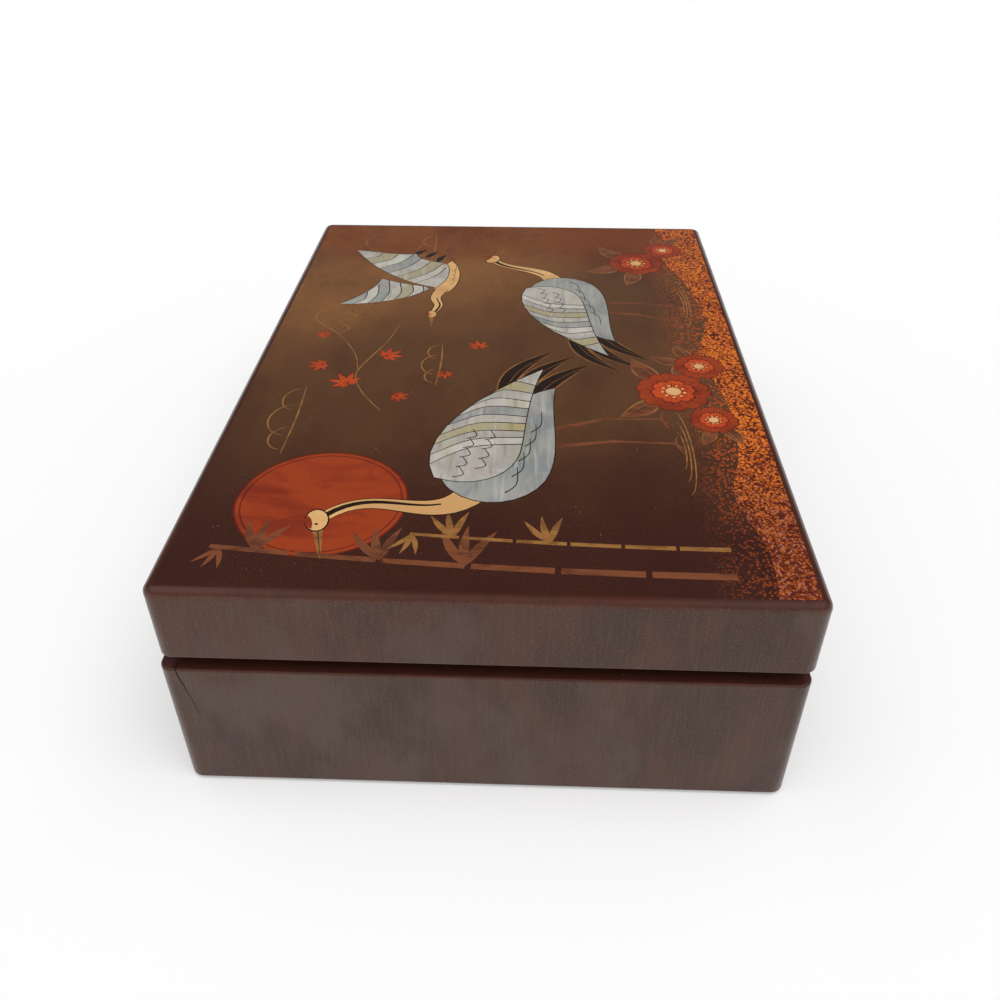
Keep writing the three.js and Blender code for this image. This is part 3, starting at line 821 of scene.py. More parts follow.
def node_outline(node):
    """The outline of a shell node's upper face, in millimetres."""
    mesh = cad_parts[node].data
    uses = {}
    for polygon in mesh.polygons:
        if polygon.normal.z > 0.9:
            corners = [tuple(round(c / MM, 3) for c in mesh.vertices[v].co[:2]) for v in polygon.vertices]
            uses.update(dict.fromkeys(pairs_round(corners)))
    border = {a: b for a, b in uses if (b, a) not in uses}
    start = next(iter(border))
    points = [start]
    while border[points[-1]] != start:
        points.append(border[points[-1]])
    return points


def grown(points, distance):
    """An outline that goes left, moved outwards."""
    result = []
    for i, (x, y) in enumerate(points):
        ax, ay = points[i - 1]
        bx, by = points[(i + 1) % len(points)]
        normal = Vector((by - ay, ax - bx)).normalized()
        result.append((x + normal.x * distance, y + normal.y * distance))
    return result


class Bird:
    """Draws in a bird's own millimetres; its place, size and turn are those of its shell nodes."""

    def __init__(self, name, x, y, size, facing, turn):
        self.name = name
        self.size = size
        self.facing = facing
        self.place = placer(x, y, radians(turn))

    def move(self, point):
        return self.place(point[0] * self.size * self.facing, point[1] * self.size)

    def lay(self, points, paint):
        lay([self.move(p) for p in points], paint)

    def line(self, knots, paint, start, end, steps):
        self.lay(ribbon(smooth(knots, steps), start, end), paint)

    def shell(self, part, paint):
        """A shell piece with the dark seam round it."""
        node = f"shell_{self.name}_{part}"
        points = node_outline(node)
        lay(grown(points, SHELL_SEAM), "dark")
        lay(points, paint, node)

    def feathers(self, ends, bend, paints):
        """Shell strips between neighbouring bent lines, and the dark lines themselves."""
        lines = [[self.move(p) for p in smooth([a, middle(a, b, *bend), b], 5)] for a, b in ends]
        for k, (left, right) in enumerate(zip(lines, lines[1:])):
            lay(left + right[::-1], paints[k % len(paints)])
        for points in lines:
            lay(ribbon(points, 0.28, 0.5), "dark")


def on_wing(edge, share):
    """The point of a wing's edge at a share of its way."""
    return edge[int(share * WING_STEPS)]


def standing_crane(bird, neck, head, look, legs):
    """A standing crane; neck is a cubic curve, head a place, look its tilt, legs hip, knee and foot."""
    for hip, knee, foot in legs:
        bird.line([hip, knee], "line", 2.3, 1.0, 4)
        bird.line([knee, foot], "line", 0.95, 0.8, 4)
        bird.lay(disc(*knee, 0.95, 8), "line")
        for dx, dy in ((-6, -1.4), (-4, -3), (4, -1.5)):
            toe = [foot, (foot[0] + dx * 0.6, foot[1] + dy * 0.4), (foot[0] + dx, foot[1] + dy)]
            bird.lay(ribbon(toe, 0.8, 0.3), "line")
    for base, tip, width, bend in (
        ((20, -12), (44, -36), 5.5, 3),
        ((22, -8), (50, -32), 5.5, 4),
        ((24, -4), (54, -26), 5.0, 4.5),
    ):
        bird.lay(leaf(base, tip, width + 0.9, bend, 12), "gold")
        bird.lay(leaf(base, tip, width, bend, 12), "dark")
        bird.line([base, middle(base, tip, bend * 0.6, bend * 0.6), tip], "gold", 0.25, 0.1, 6)
    centre = bezier(*neck, NECK_STEPS) + [neck[3]]
    bird.lay(ribbon(centre, 10.0, 3.9, -1.3), "dark")
    bird.lay(ribbon(centre, 9.2, 3.5, -1.5), "cream")
    shade = [(x + 1.3 * (1 - i / NECK_STEPS) + 0.2, y) for i, (x, y) in enumerate(centre)][5:]
    bird.lay(ribbon(shade, 0.6, 1.8), "dark")

    bird.shell("body", "shell_dark")
    for k in range(5):
        x, y = -22 + 7 * k, -1 - 2.6 * k
        bird.line([(x, y), (x + 3.5, y - 3.4), (x + 11, y - 4.6)], "dark", 0.45, 0.2, 5)
    bird.shell("wing", "shell_mid")
    upper = bezier((-13, 17), (4, 22), (26, 6), (42, -20), WING_STEPS)
    lower = bezier((42, -20), (24, -12), (6, -10), (-4, -7), WING_STEPS)
    shares = [0.12 + 0.085 * i for i in range(9)]
    ends = [(on_wing(upper, t), on_wing(lower, 0.99 - t)) for t in shares]
    bird.feathers(ends, (3.5, 1.0), ("shell_light", "shell_mid", "shell_olive", "shell_mid", "shell_dark"))
    for count, reach in ((5, 0.0), (4, 5.5)):
        for k in range(count):
            x, y = -13.5 + 4.6 * k + reach * 0.6, 12.2 - 1.3 * k - reach * 1.15
            bird.line([(x, y), (x + 1.0, y - 3.0), (x + 4.6, y - 2.2)], "dark", 0.4, 0.25, 5)

    at = placer(*head, look)
    bird.lay([at(-3.0, 1.3), at(-15, -0.6), at(-15.2, -0.9), at(-3.0, -1.6)], "gold")
    bird.lay(ribbon([at(-3.0, -0.2), at(-14, -0.8)], 0.3, 0.15), "dark")
    bird.lay(ellipse(*head, 4.7, 3.2, look, 18), "dark")
    bird.lay(ellipse(*head, 4.2, 2.8, look, 18), "cream")
    bird.lay([at(-3.4, 1.3), at(-2.2, 2.6), at(0.4, 3.2), at(2.6, 2.4), at(1.0, 1.4), at(-1.2, 1.0)], "red")
    bird.lay(disc(*at(-1.6, 0.1), 0.45, 8), "dark")


def flying_crane(bird):
    for drop in (0, -1.4):
        bird.line([(16, -2 + drop), (30, drop), (44, 3 + drop)], "line", 1.4, 0.5, 5)
    for base, tip in (((26, 17), (34, 11)), ((18, 5), (28, 1)), ((23, 11), (32, 5))):
        bird.lay(leaf(base, tip, 4.2, 0.6), "gold")
        bird.lay(leaf(base, tip, 3.4, 0.6), "dark")
    body = bezier((-14, 3), (-6, 6), (8, 4), (20, -2))
    body += bezier((20, -2), (12, -8), (-6, -9), (-16, -3))
    body += bezier((-16, -3), (-17, 0), (-16, 2), (-14, 3))
    bird.lay(grown(body[::-1], 0.45), "dark")
    bird.lay(body, "cream")
    for k in range(4):
        bird.line([(-8 + 5 * k, -3.2), (-5 + 5 * k, -4.8), (-1 + 5 * k, -4.6)], "line", 0.4, 0.2, 4)
    wings = (
        ("far_wing", "shell_dark", (-13, 6), (-22, 12), (-30, 26), (-30, 44), 0.24, 0.13,
         ((-10, 9), (-8.5, 14), (-6.5, 20), (-4, 25.5), (-9, 29.5), (-17, 33.5))),
        ("near_wing", "shell_mid", (-11, 3), (-6, 18), (8, 34), (32, 46), 0.22, 0.105,
         ((12, 0), (16.5, 2), (19, 8), (23, 13), (27.4, 17.5), (27, 25), (28.7, 33))),
    )
    for part, paint, *curve, first, step, targets in wings:
        bird.shell(part, paint)
        edge = bezier(*curve, WING_STEPS)
        ends = [(on_wing(edge, first + step * i), target) for i, target in enumerate(targets)]
        bird.feathers(ends, (-1, -2), ("shell_light", "shell_olive", "shell_mid", "shell_dark"))
    centre = smooth([(-13, 0), (-22, 2), (-30, 0), (-38, 2)], 6)
    bird.lay(ribbon(centre, 6.2, 3.2), "dark")
    bird.lay(ribbon(centre, 5.4, 2.5), "cream")
    bird.lay(ribbon([(x, y - 0.6) for x, y in centre[6:]], 0.4, 1.3), "dark")
    bird.lay([(-40, 3.2), (-51, 1.6), (-51, 1.3), (-40, 1.0)], "gold")
    bird.lay(ellipse(-39, 2.2, 3.6, 2.5, 0.1, 14), "dark")
    bird.lay(ellipse(-39, 2.2, 3.2, 2.1, 0.1, 14), "cream")
    bird.lay([(-41.5, 3.2), (-39, 4.6), (-36.6, 4.0), (-38.6, 2.9)], "red")
    bird.lay(disc(-40.2, 2.3, 0.35, 6), "dark")


def blossom(cx, cy, radius, turn):
    """A double flower with notched petals and a cream heart."""
    half_petal = ((0.35, 1.0), (0.95, 1.15), (1.0, 0.3), (1.02, 0.1), (0.93, 0.05), (0.9, 0.0))
    rings = ((7, 1.0, "deep", 0), (7, 0.96, "red", 0), (6, 0.62, "deep", 1), (6, 0.57, "vermilion", 1))
    for count, share, paint, step in rings:
        for k in range(count):
            at = placer(cx, cy, turn + step * pi / count + 2 * pi * k / count)
            r = radius * share
            half = r * 0.46
            knots = [at(radius * 0.1, 0)] + [at(r * p, half * q) for p, q in half_petal]
            knots += [at(r * p, -half * q) for p, q in half_petal[-2::-1]] + knots[:1]
            petal = []
            for i, steps in ((0, 7), (3, 3), (6, 3), (9, 7)):
                petal += bezier(*knots[i:i + 4], steps)
            lay(petal, paint)
            if paint != "deep":
                for side in (-0.22, 0.0, 0.22):
                    crease = [at(r * 0.34, side * half), at(r * 0.78, side * half * 2.2)]
                    lay(ribbon(crease, 0.4, 0.12), "deep")
    lay(disc(cx, cy, radius * 0.2, 14), "cream")
    for k in range(9):
        angle = 2 * pi * k / 9 + turn
        dot = (cx + cos(angle) * radius * 0.29, cy + sin(angle) * radius * 0.29)
        lay(disc(*dot, radius * 0.045, 6), "cream")


def maple(cx, cy, size, turn):
    """A red maple leaf with seven lobes, its veins and its stalk."""
    lobes = [((k - 3) * 0.72, reach) for k, reach in enumerate((0.50, 0.78, 0.95, 1.0, 0.95, 0.78, 0.50))]

    def at(reach, angle):
        return cx + size * reach * cos(angle + turn), cy + size * reach * sin(angle + turn)

    for grow, paint in ((1.0, "deep"), (0.9, "vermilion")):
        points = [at(0.14, pi)]
        for angle, reach in lobes:
            side = reach * 0.62 * grow
            points += [at(0.30, angle - 0.34), at(side, angle - 0.19)]
            points += [at(reach * grow, angle), at(side, angle + 0.19)]
        points.append(at(0.30, 3.36 * 0.72))
        lay(points, paint)
    for angle, reach in lobes:
        lay(ribbon([at(0.04, angle), at(reach * 0.45, angle), at(reach * 0.8, angle)], 0.28, 0.1), "deep")
    line([at(0.0, 0), at(0.35, pi + 0.1), at(0.75, pi + 0.3)], "deep", 0.45, 0.25, steps=4)


def flower_leaves(cx, cy, radius, angles):
    """Broad leaves behind a flower, each with a gold rim and a midrib."""
    for angle in angles:
        c, s = cos(angle) * radius, sin(angle) * radius
        base = (cx + c * 0.6, cy + s * 0.6)
        tip = (cx + c * 2.0, cy + s * 2.0)
        lay(leaf(base, tip, radius * 0.62, radius * 0.1), "gold")
        lay(leaf(base, tip, radius * 0.52, radius * 0.1), "line")
        lay(ribbon([base, middle(base, tip), tip], 0.3, 0.1), "gold")


def bamboo(x, y0, y1, lean, width, paint, sprays):
    """A jointed stem; each spray is a height share, a side, a leaf length and a droop."""
    joints = 6

    def at(share):
        return x + lean * share * share, y0 + (y1 - y0) * share

    for k in range(joints):
        a, b = k / joints, (k + 0.93) / joints
        lay(ribbon([at(a), at(b)], width * (1 - 0.35 * a), width * (1 - 0.35 * b)), paint)
    for share, side, size, droop in sprays:
        start = at(share)
        for spread in (-0.5, 0.0, 0.45):
            angle = 0.5 + spread - droop
            tip = (start[0] + cos(angle) * size * side, start[1] + sin(angle) * size)
            lay(leaf(start, tip, size * 0.17, size * 0.04), paint)


def reeds(y):
    for x, height, lean in ((100, 36, -6), (105, 48, 8), (110, 60, 3), (114, 44, 7), (119, 53, 2)):
        line([(x, y), (x + lean * 0.3, y + height * 0.55), (x + lean, y + height)], "line", 0.9, 0.3)
        lay(leaf((x + lean, y + height - 2), (x + lean * 1.2, y + height + 9), 2.4, 0.3), "line")


def arc(cx, cy, rx, ry, start, step, width):
    """A thin gold arc of ten steps, which swells in its middle; its angles are shares of half a turn."""
    turns = [pi * (start + step * i) for i in range(11)]
    lay(ribbon([(cx + rx * cos(a), cy + ry * sin(a)) for a in turns], width, width, 0.35), "gold")


def ripples(cx, cy, rx, ry):
    for share in (1.0, 0.72, 0.44):
        arc(cx, cy, rx * share, ry * share, 1.06, 0.088, 0.15)


def cloud(x, y, width):
    """A thin drawn cloud: three arcs over a flat line."""
    for dx, share in ((-0.34, 0.16), (-0.06, 0.24), (0.26, 0.18)):
        arc(x + dx * width, y, share * width, share * width * 0.8, 0.05, 0.09, 0.2)
    line([(x - width * 0.55, y - 0.6), (x, y - 1.2), (x + width * 0.5, y - 0.4)], "gold", 0.2, 0.2, 0.4, 5)


def draw_picture():
    for knots in (
        [(-12, 50), (0, 53), (14, 61), (25, 71), (30, 73), (35, 71), (46, 60), (60, 52), (76, 47),
         (90, 52)],
        [(15, 62), (20, 58), (25, 63), (30, 57), (35, 63), (40, 58), (45.5, 60.5)],
        [(-40, 38), (-28, 46), (-16, 50), (-4, 47), (10, 42), (26, 39)],
        [(80, 43), (90, 52), (100, 62), (107, 65), (114, 62), (123, 54)],
    ):
        line(knots, "gold", 0.3, 0.3, 0.2)
    for radius, paint in ((25, "deep"), (24.4, "red"), (23.2, "deep"), (22.8, "red")):
        lay(disc(-90, 48, radius, 56), paint)
    for place in ((-44, 66, 40), (100, 34, 34), (-6, 22, 30)):
        cloud(*place)
    bamboo(-119, -66, 76, 8, 2.6, "line",
           ((0.5, 1, 17, 0.5), (0.66, 1, 15, 0.3), (0.9, 1, 14, 0.6), (0.97, -1, 9, 0.2)))
    bamboo(-108, -66, 22, 4, 1.8, "gold", ((0.55, 1, 12, 0.3), (0.85, 1, 12, 0.3), (0.98, -1, 9, 0.2)))
    reeds(-62)
    for place in ((-22, 52, 8.5, 0.6), (-9, 63, 6.5, 2.0), (-30, 34, 5.5, 4.2), (-2, 41, 7.5, 5.4),
                  (14, 66, 5.0, 1.2), (-14, 19, 5.0, 3.3), (6, 8, 6.0, 0.2)):
        maple(*place)
    ripples(-60, -58, 24, 4)
    ripples(46, -70, 22, 4)
    standing_crane(
        Bird("tall_crane", -60, 0, 1.12, 1, 8),
        ((-18, 5), (-38, 18), (-14, 30), (-27, 45)), (-28.5, 47), 0.05,
        (((-2, -14), (-1, -34), (-4, -51)), ((6, -15), (11, -34), (9, -50))),
    )
    standing_crane(
        Bird("low_crane", 44, -24, 0.98, -1, -6),
        ((-18, 5), (-37, 9), (-30, 27), (-40, 34)), (-42, 35.5), 0.25,
        (((-3, -14), (-5, -32), (-3, -46)), ((5, -15), (6, -31), (10, -45))),
    )
    flying_crane(Bird("flying_crane", 68, 26, 0.9, 1, 0))
    shore = smooth([(-131, -75), (-108, -76), (-84, -71), (-60, -76), (-30, -77), (0, -72), (30, -78),
                    (64, -75), (92, -68), (112, -71), (131, -66)], 8)
    lay([(-131, -91)] + shore + [(131, -91)], "shore")
    for cx, cy, radius, turn, leaves in (
        (-24, -60, 13, 0.3, (2.3, 0.5, -0.4)),
        (-6, -71, 9, 0.9, (0.4, 1.2)),
        (-42, -71, 8, 0.1, (2.8, 3.6)),
        (86, -56, 12, 0.5, (2.0, 2.9, 0.7)),
        (101, -69, 8.5, 0.2, (0.1, -0.5)),
    ):
        flower_leaves(cx, cy, radius, leaves)
        blossom(cx, cy, radius, turn)


def picture_plates():
    """Cuts the picture into one level plate of paints and six shell plates, which meet edge to edge."""
    border = [(x / MM, y / MM) for x, y in rounded_rectangle(lid_rect, PICTURE_INSET, CORNER_RADIUS)]
    lay(border, "ground")
    draw_picture()
    flat, triangles, centres, _, _ = triangulate([points for points, _, _ in shapes], WHOLE_HULL, 1e-4)
    paints = {}
    owners = {}
    for points, paint, owner in shapes:
        for i in covered(points, centres):
            if owner:
                owners[i] = owner
            if owner or i in owners or not paint.startswith("shell"):
                paints[i] = paint
    plates = {}
    for i in sorted(covered(border, centres)):
        plates.setdefault(owners.get(i), []).append((triangles[i], paints[i]))
    for owner, faces in plates.items():
        name = owner.replace("shell_", "pearl_") if owner else "lid_picture"
        piece = plate(name, flat, faces)
        settle(piece, "lid", "shell" if owner else "lacquer", *([owner] if owner else []))


def plate(name, flat, faces):
    """A thin closed plate whose upper face is painted triangle by triangle."""
    used = sorted({v for triangle, _ in faces for v in triangle})
    index = {v: i for i, v in enumerate(used)}
    count = len(used)
    verts = [(flat[v].x * MM, flat[v].y * MM, lid_top) for v in used]
    verts += [(x, y, z - PICTURE_THICKNESS) for x, y, z in verts]
    paints = sorted({paint for _, paint in faces})
    top = []
    indices = []
    edges = set()
    for triangle, paint in faces:
        corners = [index[v] for v in wound(flat, triangle, 1)]
        top.append(tuple(corners))
        indices.append(paints.index(paint))
        edges.update(pairs_round(corners))
    bottom = [tuple(v + count for v in reversed(corners)) for corners in top]
    walls = [(q, p, p + count, q + count) for p, q in open_edges(edges)]
    indices += [0] * (len(bottom) + len(walls))
    return build(name, verts, top + bottom + walls, paints, indices, sharp=20)


base_shell()
lid_shell()
picture_plates()


# Boards that keep their CAD shape

def dress(node, paint, edge):
    """Gives a CAD node its finish and edges rounded by a number of millimetres."""
    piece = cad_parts[node]
    piece.data.materials.clear()
    piece.data.materials.append(finishes[paint])
    weld = piece.modifiers.new("joined corners", "WELD")
    weld.merge_threshold = WELD_DISTANCE
    bevel = piece.modifiers.new("rounded edges", "BEVEL")
    bevel.width = edge * MM
    bevel.segments = 3
    bevel.limit_method = "ANGLE"
    bevel.angle_limit = radians(40)
    piece.data.shade_smooth()
    even_normals(piece)


for side in SIDES:
    dress(f"liner_{side}", "inner", 0.5)
    dress(f"mirror_{side}_bead", "inner", 0.6)
    dress(f"tray_{side}", "board_velvet", 0.7)
for node, paint, edge in (
    ("runner_front", "inner", 0.4),
    ("runner_back", "inner", 0.4),
    ("base_floor", "inner", 0.2),
    ("tray_floor", "board_velvet", 0.3),
    ("tray_divider", "board_velvet", 0.8),
    ("cross_divider", "board_velvet", 0.8),
    ("long_divider", "board_velvet", 0.8),
    ("mirror", "mirror", 0.5),
):
    dress(node, paint, edge)
for side in ("left", "right"):
    dress(f"base_hinge_leaf_{side}", "brass", 0.12)
    dress(f"lid_hinge_leaf_{side}", "brass", 0.12)
    dress(f"hinge_pin_{side}", "brass", 0.1)


# Soft pieces

CLOTH_FRAMES = 20
CLOTH = {
    "vertex_group_mass": "pinned",
    "quality": 6,
    "mass": 0.15,
    "tension_stiffness": 20,
    "compression_stiffness": 20,
    "shear_stiffness": 8,
    "bending_stiffness": 0.05,
    # The cloth is cut longer than the place it fills, which puckers it at the seams
    "shrink_min": -0.035,
    "use_pressure": True,
    "uniform_pressure_force": 3.0,
}


def inflate(piece, pinned, reach, slip=1.0):
    """Blows a sewn piece up as cloth about its pinned points, and keeps the result in its mesh.

    No point moves further than reach, and slip is the share of its level motion that stays.
    """
    start = [v.co.copy() for v in piece.data.vertices]
    group = piece.vertex_groups.new(name=CLOTH["vertex_group_mass"])
    group.add(pinned, 1.0, "REPLACE")
    cloth = piece.modifiers.new("cloth", "CLOTH")
    cloth.point_cache.frame_end = CLOTH_FRAMES
    for key, value in CLOTH.items():
        setattr(cloth.settings, key, value)
    cloth.settings.effector_weights.gravity = 0
    cloth.collision_settings.use_collision = False
    scene = bpy.context.scene
    for number in range(1, CLOTH_FRAMES + 1):
        scene.frame_set(number)
    shape = piece.evaluated_get(bpy.context.evaluated_depsgraph_get()).data
    for vertex, place, blown in zip(piece.data.vertices, start, shape.vertices):
        step = blown.co - place
        step *= min(1.0, reach / max(step.length, 1e-9))
        vertex.co = place + Vector((step.x * slip, step.y * slip, step.z))
    piece.modifiers.remove(cloth)
    piece.vertex_groups.remove(group)
    scene.frame_set(1)


def keep_inside(piece, node, seam):
    """Flattens what a blown piece has above its seam, and keeps it in its CAD node's box."""
    low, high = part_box(node)
    room = high.z - seam
    for vertex in piece.data.vertices:
        x, y, z = vertex.co
        if z > seam:
            z = seam + room * (1 - exp(-1.6 * (z - seam) / room))
        vertex.co = [min(max(c, a), b) for c, a, b in zip((x, y, z), low, high)]


def soften(piece):
    """One subdivision, applied, for a finer skin than the cloth was worked out on."""
    modifier = piece.modifiers.new("subdivision", "SUBSURF")
    modifier.levels = modifier.render_levels = 1
    shape = piece.evaluated_get(bpy.context.evaluated_depsgraph_get())
    fine = bpy.data.meshes.new_from_object(shape)
    piece.modifiers.remove(modifier)
    piece.data = fine


def slab(low, high, nx, ny, top_height):
    """Points and faces of a closed sheet of two skins; top_height gives the upper one's level."""
    xs = [low.x + (high.x - low.x) * i / nx for i in range(nx + 1)]
    ys = [low.y + (high.y - low.y) * j / ny for j in range(ny + 1)]
    verts = [(x, y, top_height(x, y)) for y in ys for x in xs]
    verts += [(x, y, low.z) for y in ys for x in xs]
    wide = nx + 1
    count = wide * (ny + 1)
    faces = []
    for j in range(ny):
        for a in range(j * wide, j * wide + nx):
            quad = (a, a + 1, a + wide + 1, a + wide)
            faces += [quad, tuple(v + count for v in reversed(quad))]
    rim = list(range(wide)) + [j * wide + nx for j in range(1, ny + 1)]
    rim += [ny * wide + i for i in range(nx - 1, -1, -1)] + [j * wide for j in range(ny - 1, 0, -1)]
    faces += [(b, a, a + count, b + count) for a, b in pairs_round(rim)]
    return verts, faces


def cushion(name, node, body, cells, columns=(), rows=()):
    """A padded velvet sheet, held below and along its edges and the given lines, and blown up as cloth."""
    low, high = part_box(node)
    nx, ny = cells
    seam = low.z + (high.z - low.z) * 0.2
    x_lines = [low.x, *columns, high.x]
    y_lines = [low.y, *rows, high.y]
    hold_x, hold_y = (high.x - low.x) / nx * 0.6, (high.y - low.y) / ny * 0.6

    def swell(value, lines):
        """0 on a line and 1 midway between two, steep at the lines."""
        for a, b in zip(lines, lines[1:]):
            if a <= value <= b:
                return max(0.0, sin(pi * (value - a) / (b - a))) ** 0.4
        return 0.0

    def top_height(x, y):
        lift = swell(x, x_lines) * swell(y, y_lines)
        ripple = noise.fractal((x * 70, y * 70, 3.0), 1.0, 2.0, 3) * 0.2 * MM * lift
        return min(seam + (high.z - seam) * lift * 0.8 + ripple, high.z)

    verts, faces = slab(low, high, nx, ny, top_height)
    piece = build(name, verts, faces, ["velvet"], sharp=None)
    count = (nx + 1) * (ny + 1)
    pinned = list(range(count, 2 * count))
    for i, (x, y, _) in enumerate(verts[:count]):
        near_x = min(abs(x - line_x) for line_x in x_lines)
        near_y = min(abs(y - line_y) for line_y in y_lines)
        if near_x < hold_x or near_y < hold_y:
            pinned.append(i)
    inflate(piece, pinned, reach=6 * MM, slip=0.12)
    keep_inside(piece, node, seam)
    soften(piece)
    settle(piece, body, "velvet_pad", node)


def ring_roll(number):
    """A velvet bolster: a tube of cloth gathered at both ends, blown up and flattened where it lies."""
    node = f"ring_roll_{number}"
    low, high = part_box(node)
    _, centre_y = middle(low, high)
    radius = (high.y - low.y) / 2
    centre_z = high.z - radius
    around, along = 36, 64
    end = radius * 0.6
    verts = []
    for i in range(along + 1):
        x = low.x + (high.x - low.x) * i / along
        near = min(x - low.x, high.x - x)
        share = 1.0 if near > end else sqrt(max(0.0, 1 - (1 - near / end) ** 2))
        share = 0.12 + 0.84 * share
        for k in range(around):
            angle = 2 * pi * k / around
            pleat = 0.09 * (0.96 - share) * cos(9 * angle)
            ripple = 0.02 * noise.noise((x * 190, cos(angle) * 2, sin(angle) * 2 + number * 3))
            r = radius * (share + pleat + ripple)
            verts.append((x, centre_y + r * sin(angle), max(centre_z - r * cos(angle), low.z)))
    faces = []
    for start in range(0, along * around, around):
        for k in range(around):
            a, b = start + k, start + (k + 1) % around
            faces.append((a, a + around, b + around, b))
    ends = range(around), range(along * around, (along + 1) * around)
    faces += [tuple(ends[0]), tuple(ends[1])[::-1]]
    piece = build(f"velvet_roll_{number}", verts, faces, ["velvet"], sharp=None)
    pinned = [i for i, v in enumerate(verts) if v[2] < low.z + 0.01 * MM]
    inflate(piece, [*pinned, *ends[0], *ends[1]], reach=1.2 * MM)
    keep_inside(piece, node, high.z - 0.6 * radius)
    soften(piece)
    settle(piece, "tray", "velvet_pad", node)


def cloth_board(name, node, body, slot, paint, ripple):
    """A sheet of cloth glued to a board: nearly flat, with a soft edge."""
    low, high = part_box(node)

    def top_height(x, y):
        near = min(x - low.x, high.x - x, y - low.y, high.y - y)
        soft = 0.3 * (high.z - low.z) * max(0.0, 1 - near / (3 * MM)) ** 2
        return high.z - soft

    verts, faces = slab(low, high, 80, 56, top_height)
    count = len(verts) // 2
    for i, (x, y, z) in enumerate(verts[count:], count):
        verts[i] = (x, y, z + ripple * (0.5 + 0.5 * noise.noise((x * 90, y * 90, 7.0))))
    piece = build(name, verts, faces, [paint], sharp=60)
    settle(piece, body, slot, node)


cross_x, _ = middle(*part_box("cross_divider"))
_, long_y = middle(*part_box("long_divider"))
cushion("floor_cushion", "floor_pad", "base", cells=(120, 80), columns=[cross_x], rows=[long_y])
cushion("tray_cushion", "tray_pad", "tray", cells=(64, 64))
for number in range(1, 5):
    ring_roll(number)
cloth_board("felt_sheet", "base_felt", "base", "felt", "felt", ripple=0.0)
cloth_board("lid_velvet", "lid_lining", "lid", "lining", "velvet", ripple=0.15 * MM)


# Screws

def screw(body, side, order, direction):
    """A countersunk screw with a slotted head; direction is 1 if the head faces up and -1 if down."""
    node = f"{body}_screw_{side}_{order}"
    low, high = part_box(node)
    cx, cy = middle(low, high)
    face = high.z if direction > 0 else low.z
    length = high.z - low.z
    head = (high.x - low.x) / 2
    shank, slot_half, slot_depth, head_depth = head * 0.58, head * 0.16, head * 0.35, head * 0.6
    at = placer(0, 0, random.uniform(0, pi))
    sides = 28
    rim = disc(0, 0, head, sides)
    cut = [(-head * 2, -slot_half), (head * 2, -slot_half), (head * 2, slot_half), (-head * 2, slot_half)]
    flat, triangles, _, _, parents = triangulate((rim, cut), INSIDE_ONLY)
    mesh = bmesh.new()

    def spot(p, z):
        x, y = at(*p)
        return mesh.verts.new((cx + x, cy + y, face - direction * z))

    for triangle, inside in zip(triangles, parents):
        if 0 not in inside:
            continue
        depth = slot_depth if 1 in inside else 0.0
        made = mesh.faces.new([spot(flat[v], depth) for v in triangle])
        made.material_index = 1 if depth else 0
    reach = sqrt(head * head - slot_half * slot_half)
    for y in (-slot_half, slot_half):
        a, b = (-reach, y), (reach, y)
        wall = [spot(a, 0), spot(b, 0), spot(b, slot_depth), spot(a, slot_depth)]
        mesh.faces.new(wall).material_index = 1
    profile = [(head, 0.0), (head, 0.12 * head_depth), (shank, head_depth)]
    turns = 9
    for k in range(turns):
        root, crest = (head_depth + (length * 0.92 - head_depth) * (k + s) / turns for s in (0.35, 0.7))
        profile += [(shank * 0.78, root), (shank, crest)]
    profile += [(shank * 0.5, length * 0.95), (shank * 0.05, length)]
    rings = [[spot(p, z) for p in disc(0, 0, radius, sides)] for radius, z in profile]
    for lower, upper in zip(rings, rings[1:]):
        for k in range(sides):
            m = (k + 1) % sides
            mesh.faces.new((lower[k], lower[m], upper[m], upper[k]))
    mesh.faces.new(rings[-1])
    bmesh.ops.remove_doubles(mesh, verts=mesh.verts, dist=SAME_PLACE)
    bmesh.ops.recalc_face_normals(mesh, faces=mesh.faces)
    data = bpy.data.meshes.new(node)
    mesh.to_mesh(data)
    mesh.free()
    data.materials.append(finishes["brass"])
    data.materials.append(finishes["screw_slot"])
    data.shade_smooth()
    data.set_sharp_from_angle(angle=radians(28))
    settle(show(f"slotted_{node}", data), body, "brass", node)


for body, direction in (("base", 1), ("lid", -1)):
    for side in ("left", "right"):
        for order in ("a", "b"):
            screw(body, side, order, direction)


# Floor, light and camera

def make_floor():
    """A wide pale floor, which is seen, also in mirror images, as white with the object's shadow on it."""
    r = FLOOR_REACH
    mesh = bpy.data.meshes.new("floor")
    mesh.from_pydata([(-r, -r, 0), (r, -r, 0), (r, r, 0), (-r, r, 0)], [], [(0, 1, 2, 3)])
    floor = show("floor", mesh)
    surface = Surface("floor", Roughness=0.9, Specular_IOR_Level=0.0, Base_Color=0.86, Emission_Color=1.0)
    rays = surface.node("LightPath").outputs
    seen = surface.math("MAXIMUM", rays["Is Camera Ray"], rays["Is Glossy Ray"])
    seen = surface.math("MAXIMUM", seen, rays["Is Transmission Ray"])
    mesh.materials.append(surface.set(Emission_Strength=surface.times(seen, FLOOR_SHORTFALL)))


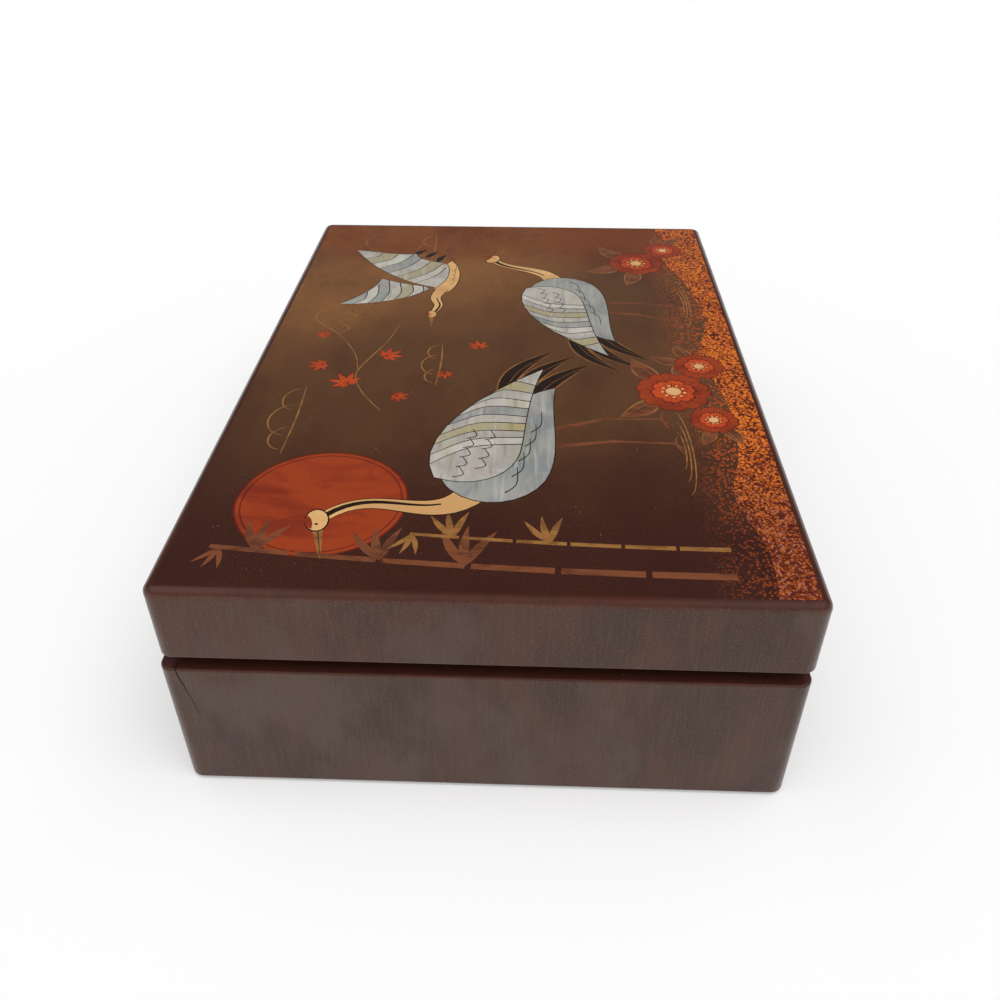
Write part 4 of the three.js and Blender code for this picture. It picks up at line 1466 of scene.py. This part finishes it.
def make_world():
    """A room: pale near the horizon, a dim wall beyond the box, and a soft light on each side overhead.

    The camera itself, and what shows through glass, has a plain white backdrop in place of the room.
    """
    world = bpy.data.worlds.new("studio")
    world.use_nodes = True
    bpy.context.scene.world = world
    sky = Nodes(world.node_tree, "Generated")
    x, y, z = (sky.axis(name) for name in "XYZ")
    wall = sky.mix(sky.span(x, -0.15, 0.55), 0.48, 0.05)
    lamps = sky.mix(sky.span(z, 0.62, 0.88), 0.0, sky.span(sky.size(y), 0.08, 0.42))
    light = sky.mix(sky.span(z, 0.30, 0.19), sky.mix(lamps, wall, 1.1), 0.88)
    rays = sky.node("LightPath").outputs
    for ray in ("Is Camera Ray", "Is Transmission Ray"):
        light = sky.mix(rays[ray], light, 1.0)
    sky.feed(sky.tree.nodes["Background"].inputs["Color"], light)


def overhead_light(direction, strength, angle):
    """A broad soft lamp without a mirror image; a strength of pi would show level colours as written."""
    data = bpy.data.lights.new("overhead", "SUN")
    data.energy = strength
    data.angle = radians(angle)
    light = show("overhead", data)
    light.rotation_euler = Vector(direction).to_track_quat("Z", "Y").to_euler()
    light.visible_glossy = False


def make_camera():
    """The photograph's camera, from its place, its three angles and its focal length in pixels."""
    forward = Vector((
        cos(CAMERA_YAW) * cos(CAMERA_PITCH),
        sin(CAMERA_YAW) * cos(CAMERA_PITCH),
        -sin(CAMERA_PITCH),
    ))
    level = Vector((sin(CAMERA_YAW), -cos(CAMERA_YAW), 0))
    down = forward.cross(level)
    right = cos(CAMERA_ROLL) * level + sin(CAMERA_ROLL) * down
    down = forward.cross(right)
    data = bpy.data.cameras.new("camera")
    data.sensor_width = SENSOR_WIDTH
    data.lens = FOCAL_PIXELS / IMAGE_PIXELS * SENSOR_WIDTH
    data.clip_start = 0.01
    camera = show("camera", data)
    turned = Matrix((right, -down, -forward)).transposed().to_4x4()
    camera.matrix_world = Matrix.Translation(CAMERA_PLACE) @ turned
    bpy.context.scene.camera = camera


make_floor()
make_world()
overhead_light(direction=(-0.30, -0.16, 0.94), strength=1.35, angle=60)
make_camera()
bpy.context.scene.view_settings.view_transform = "Standard"
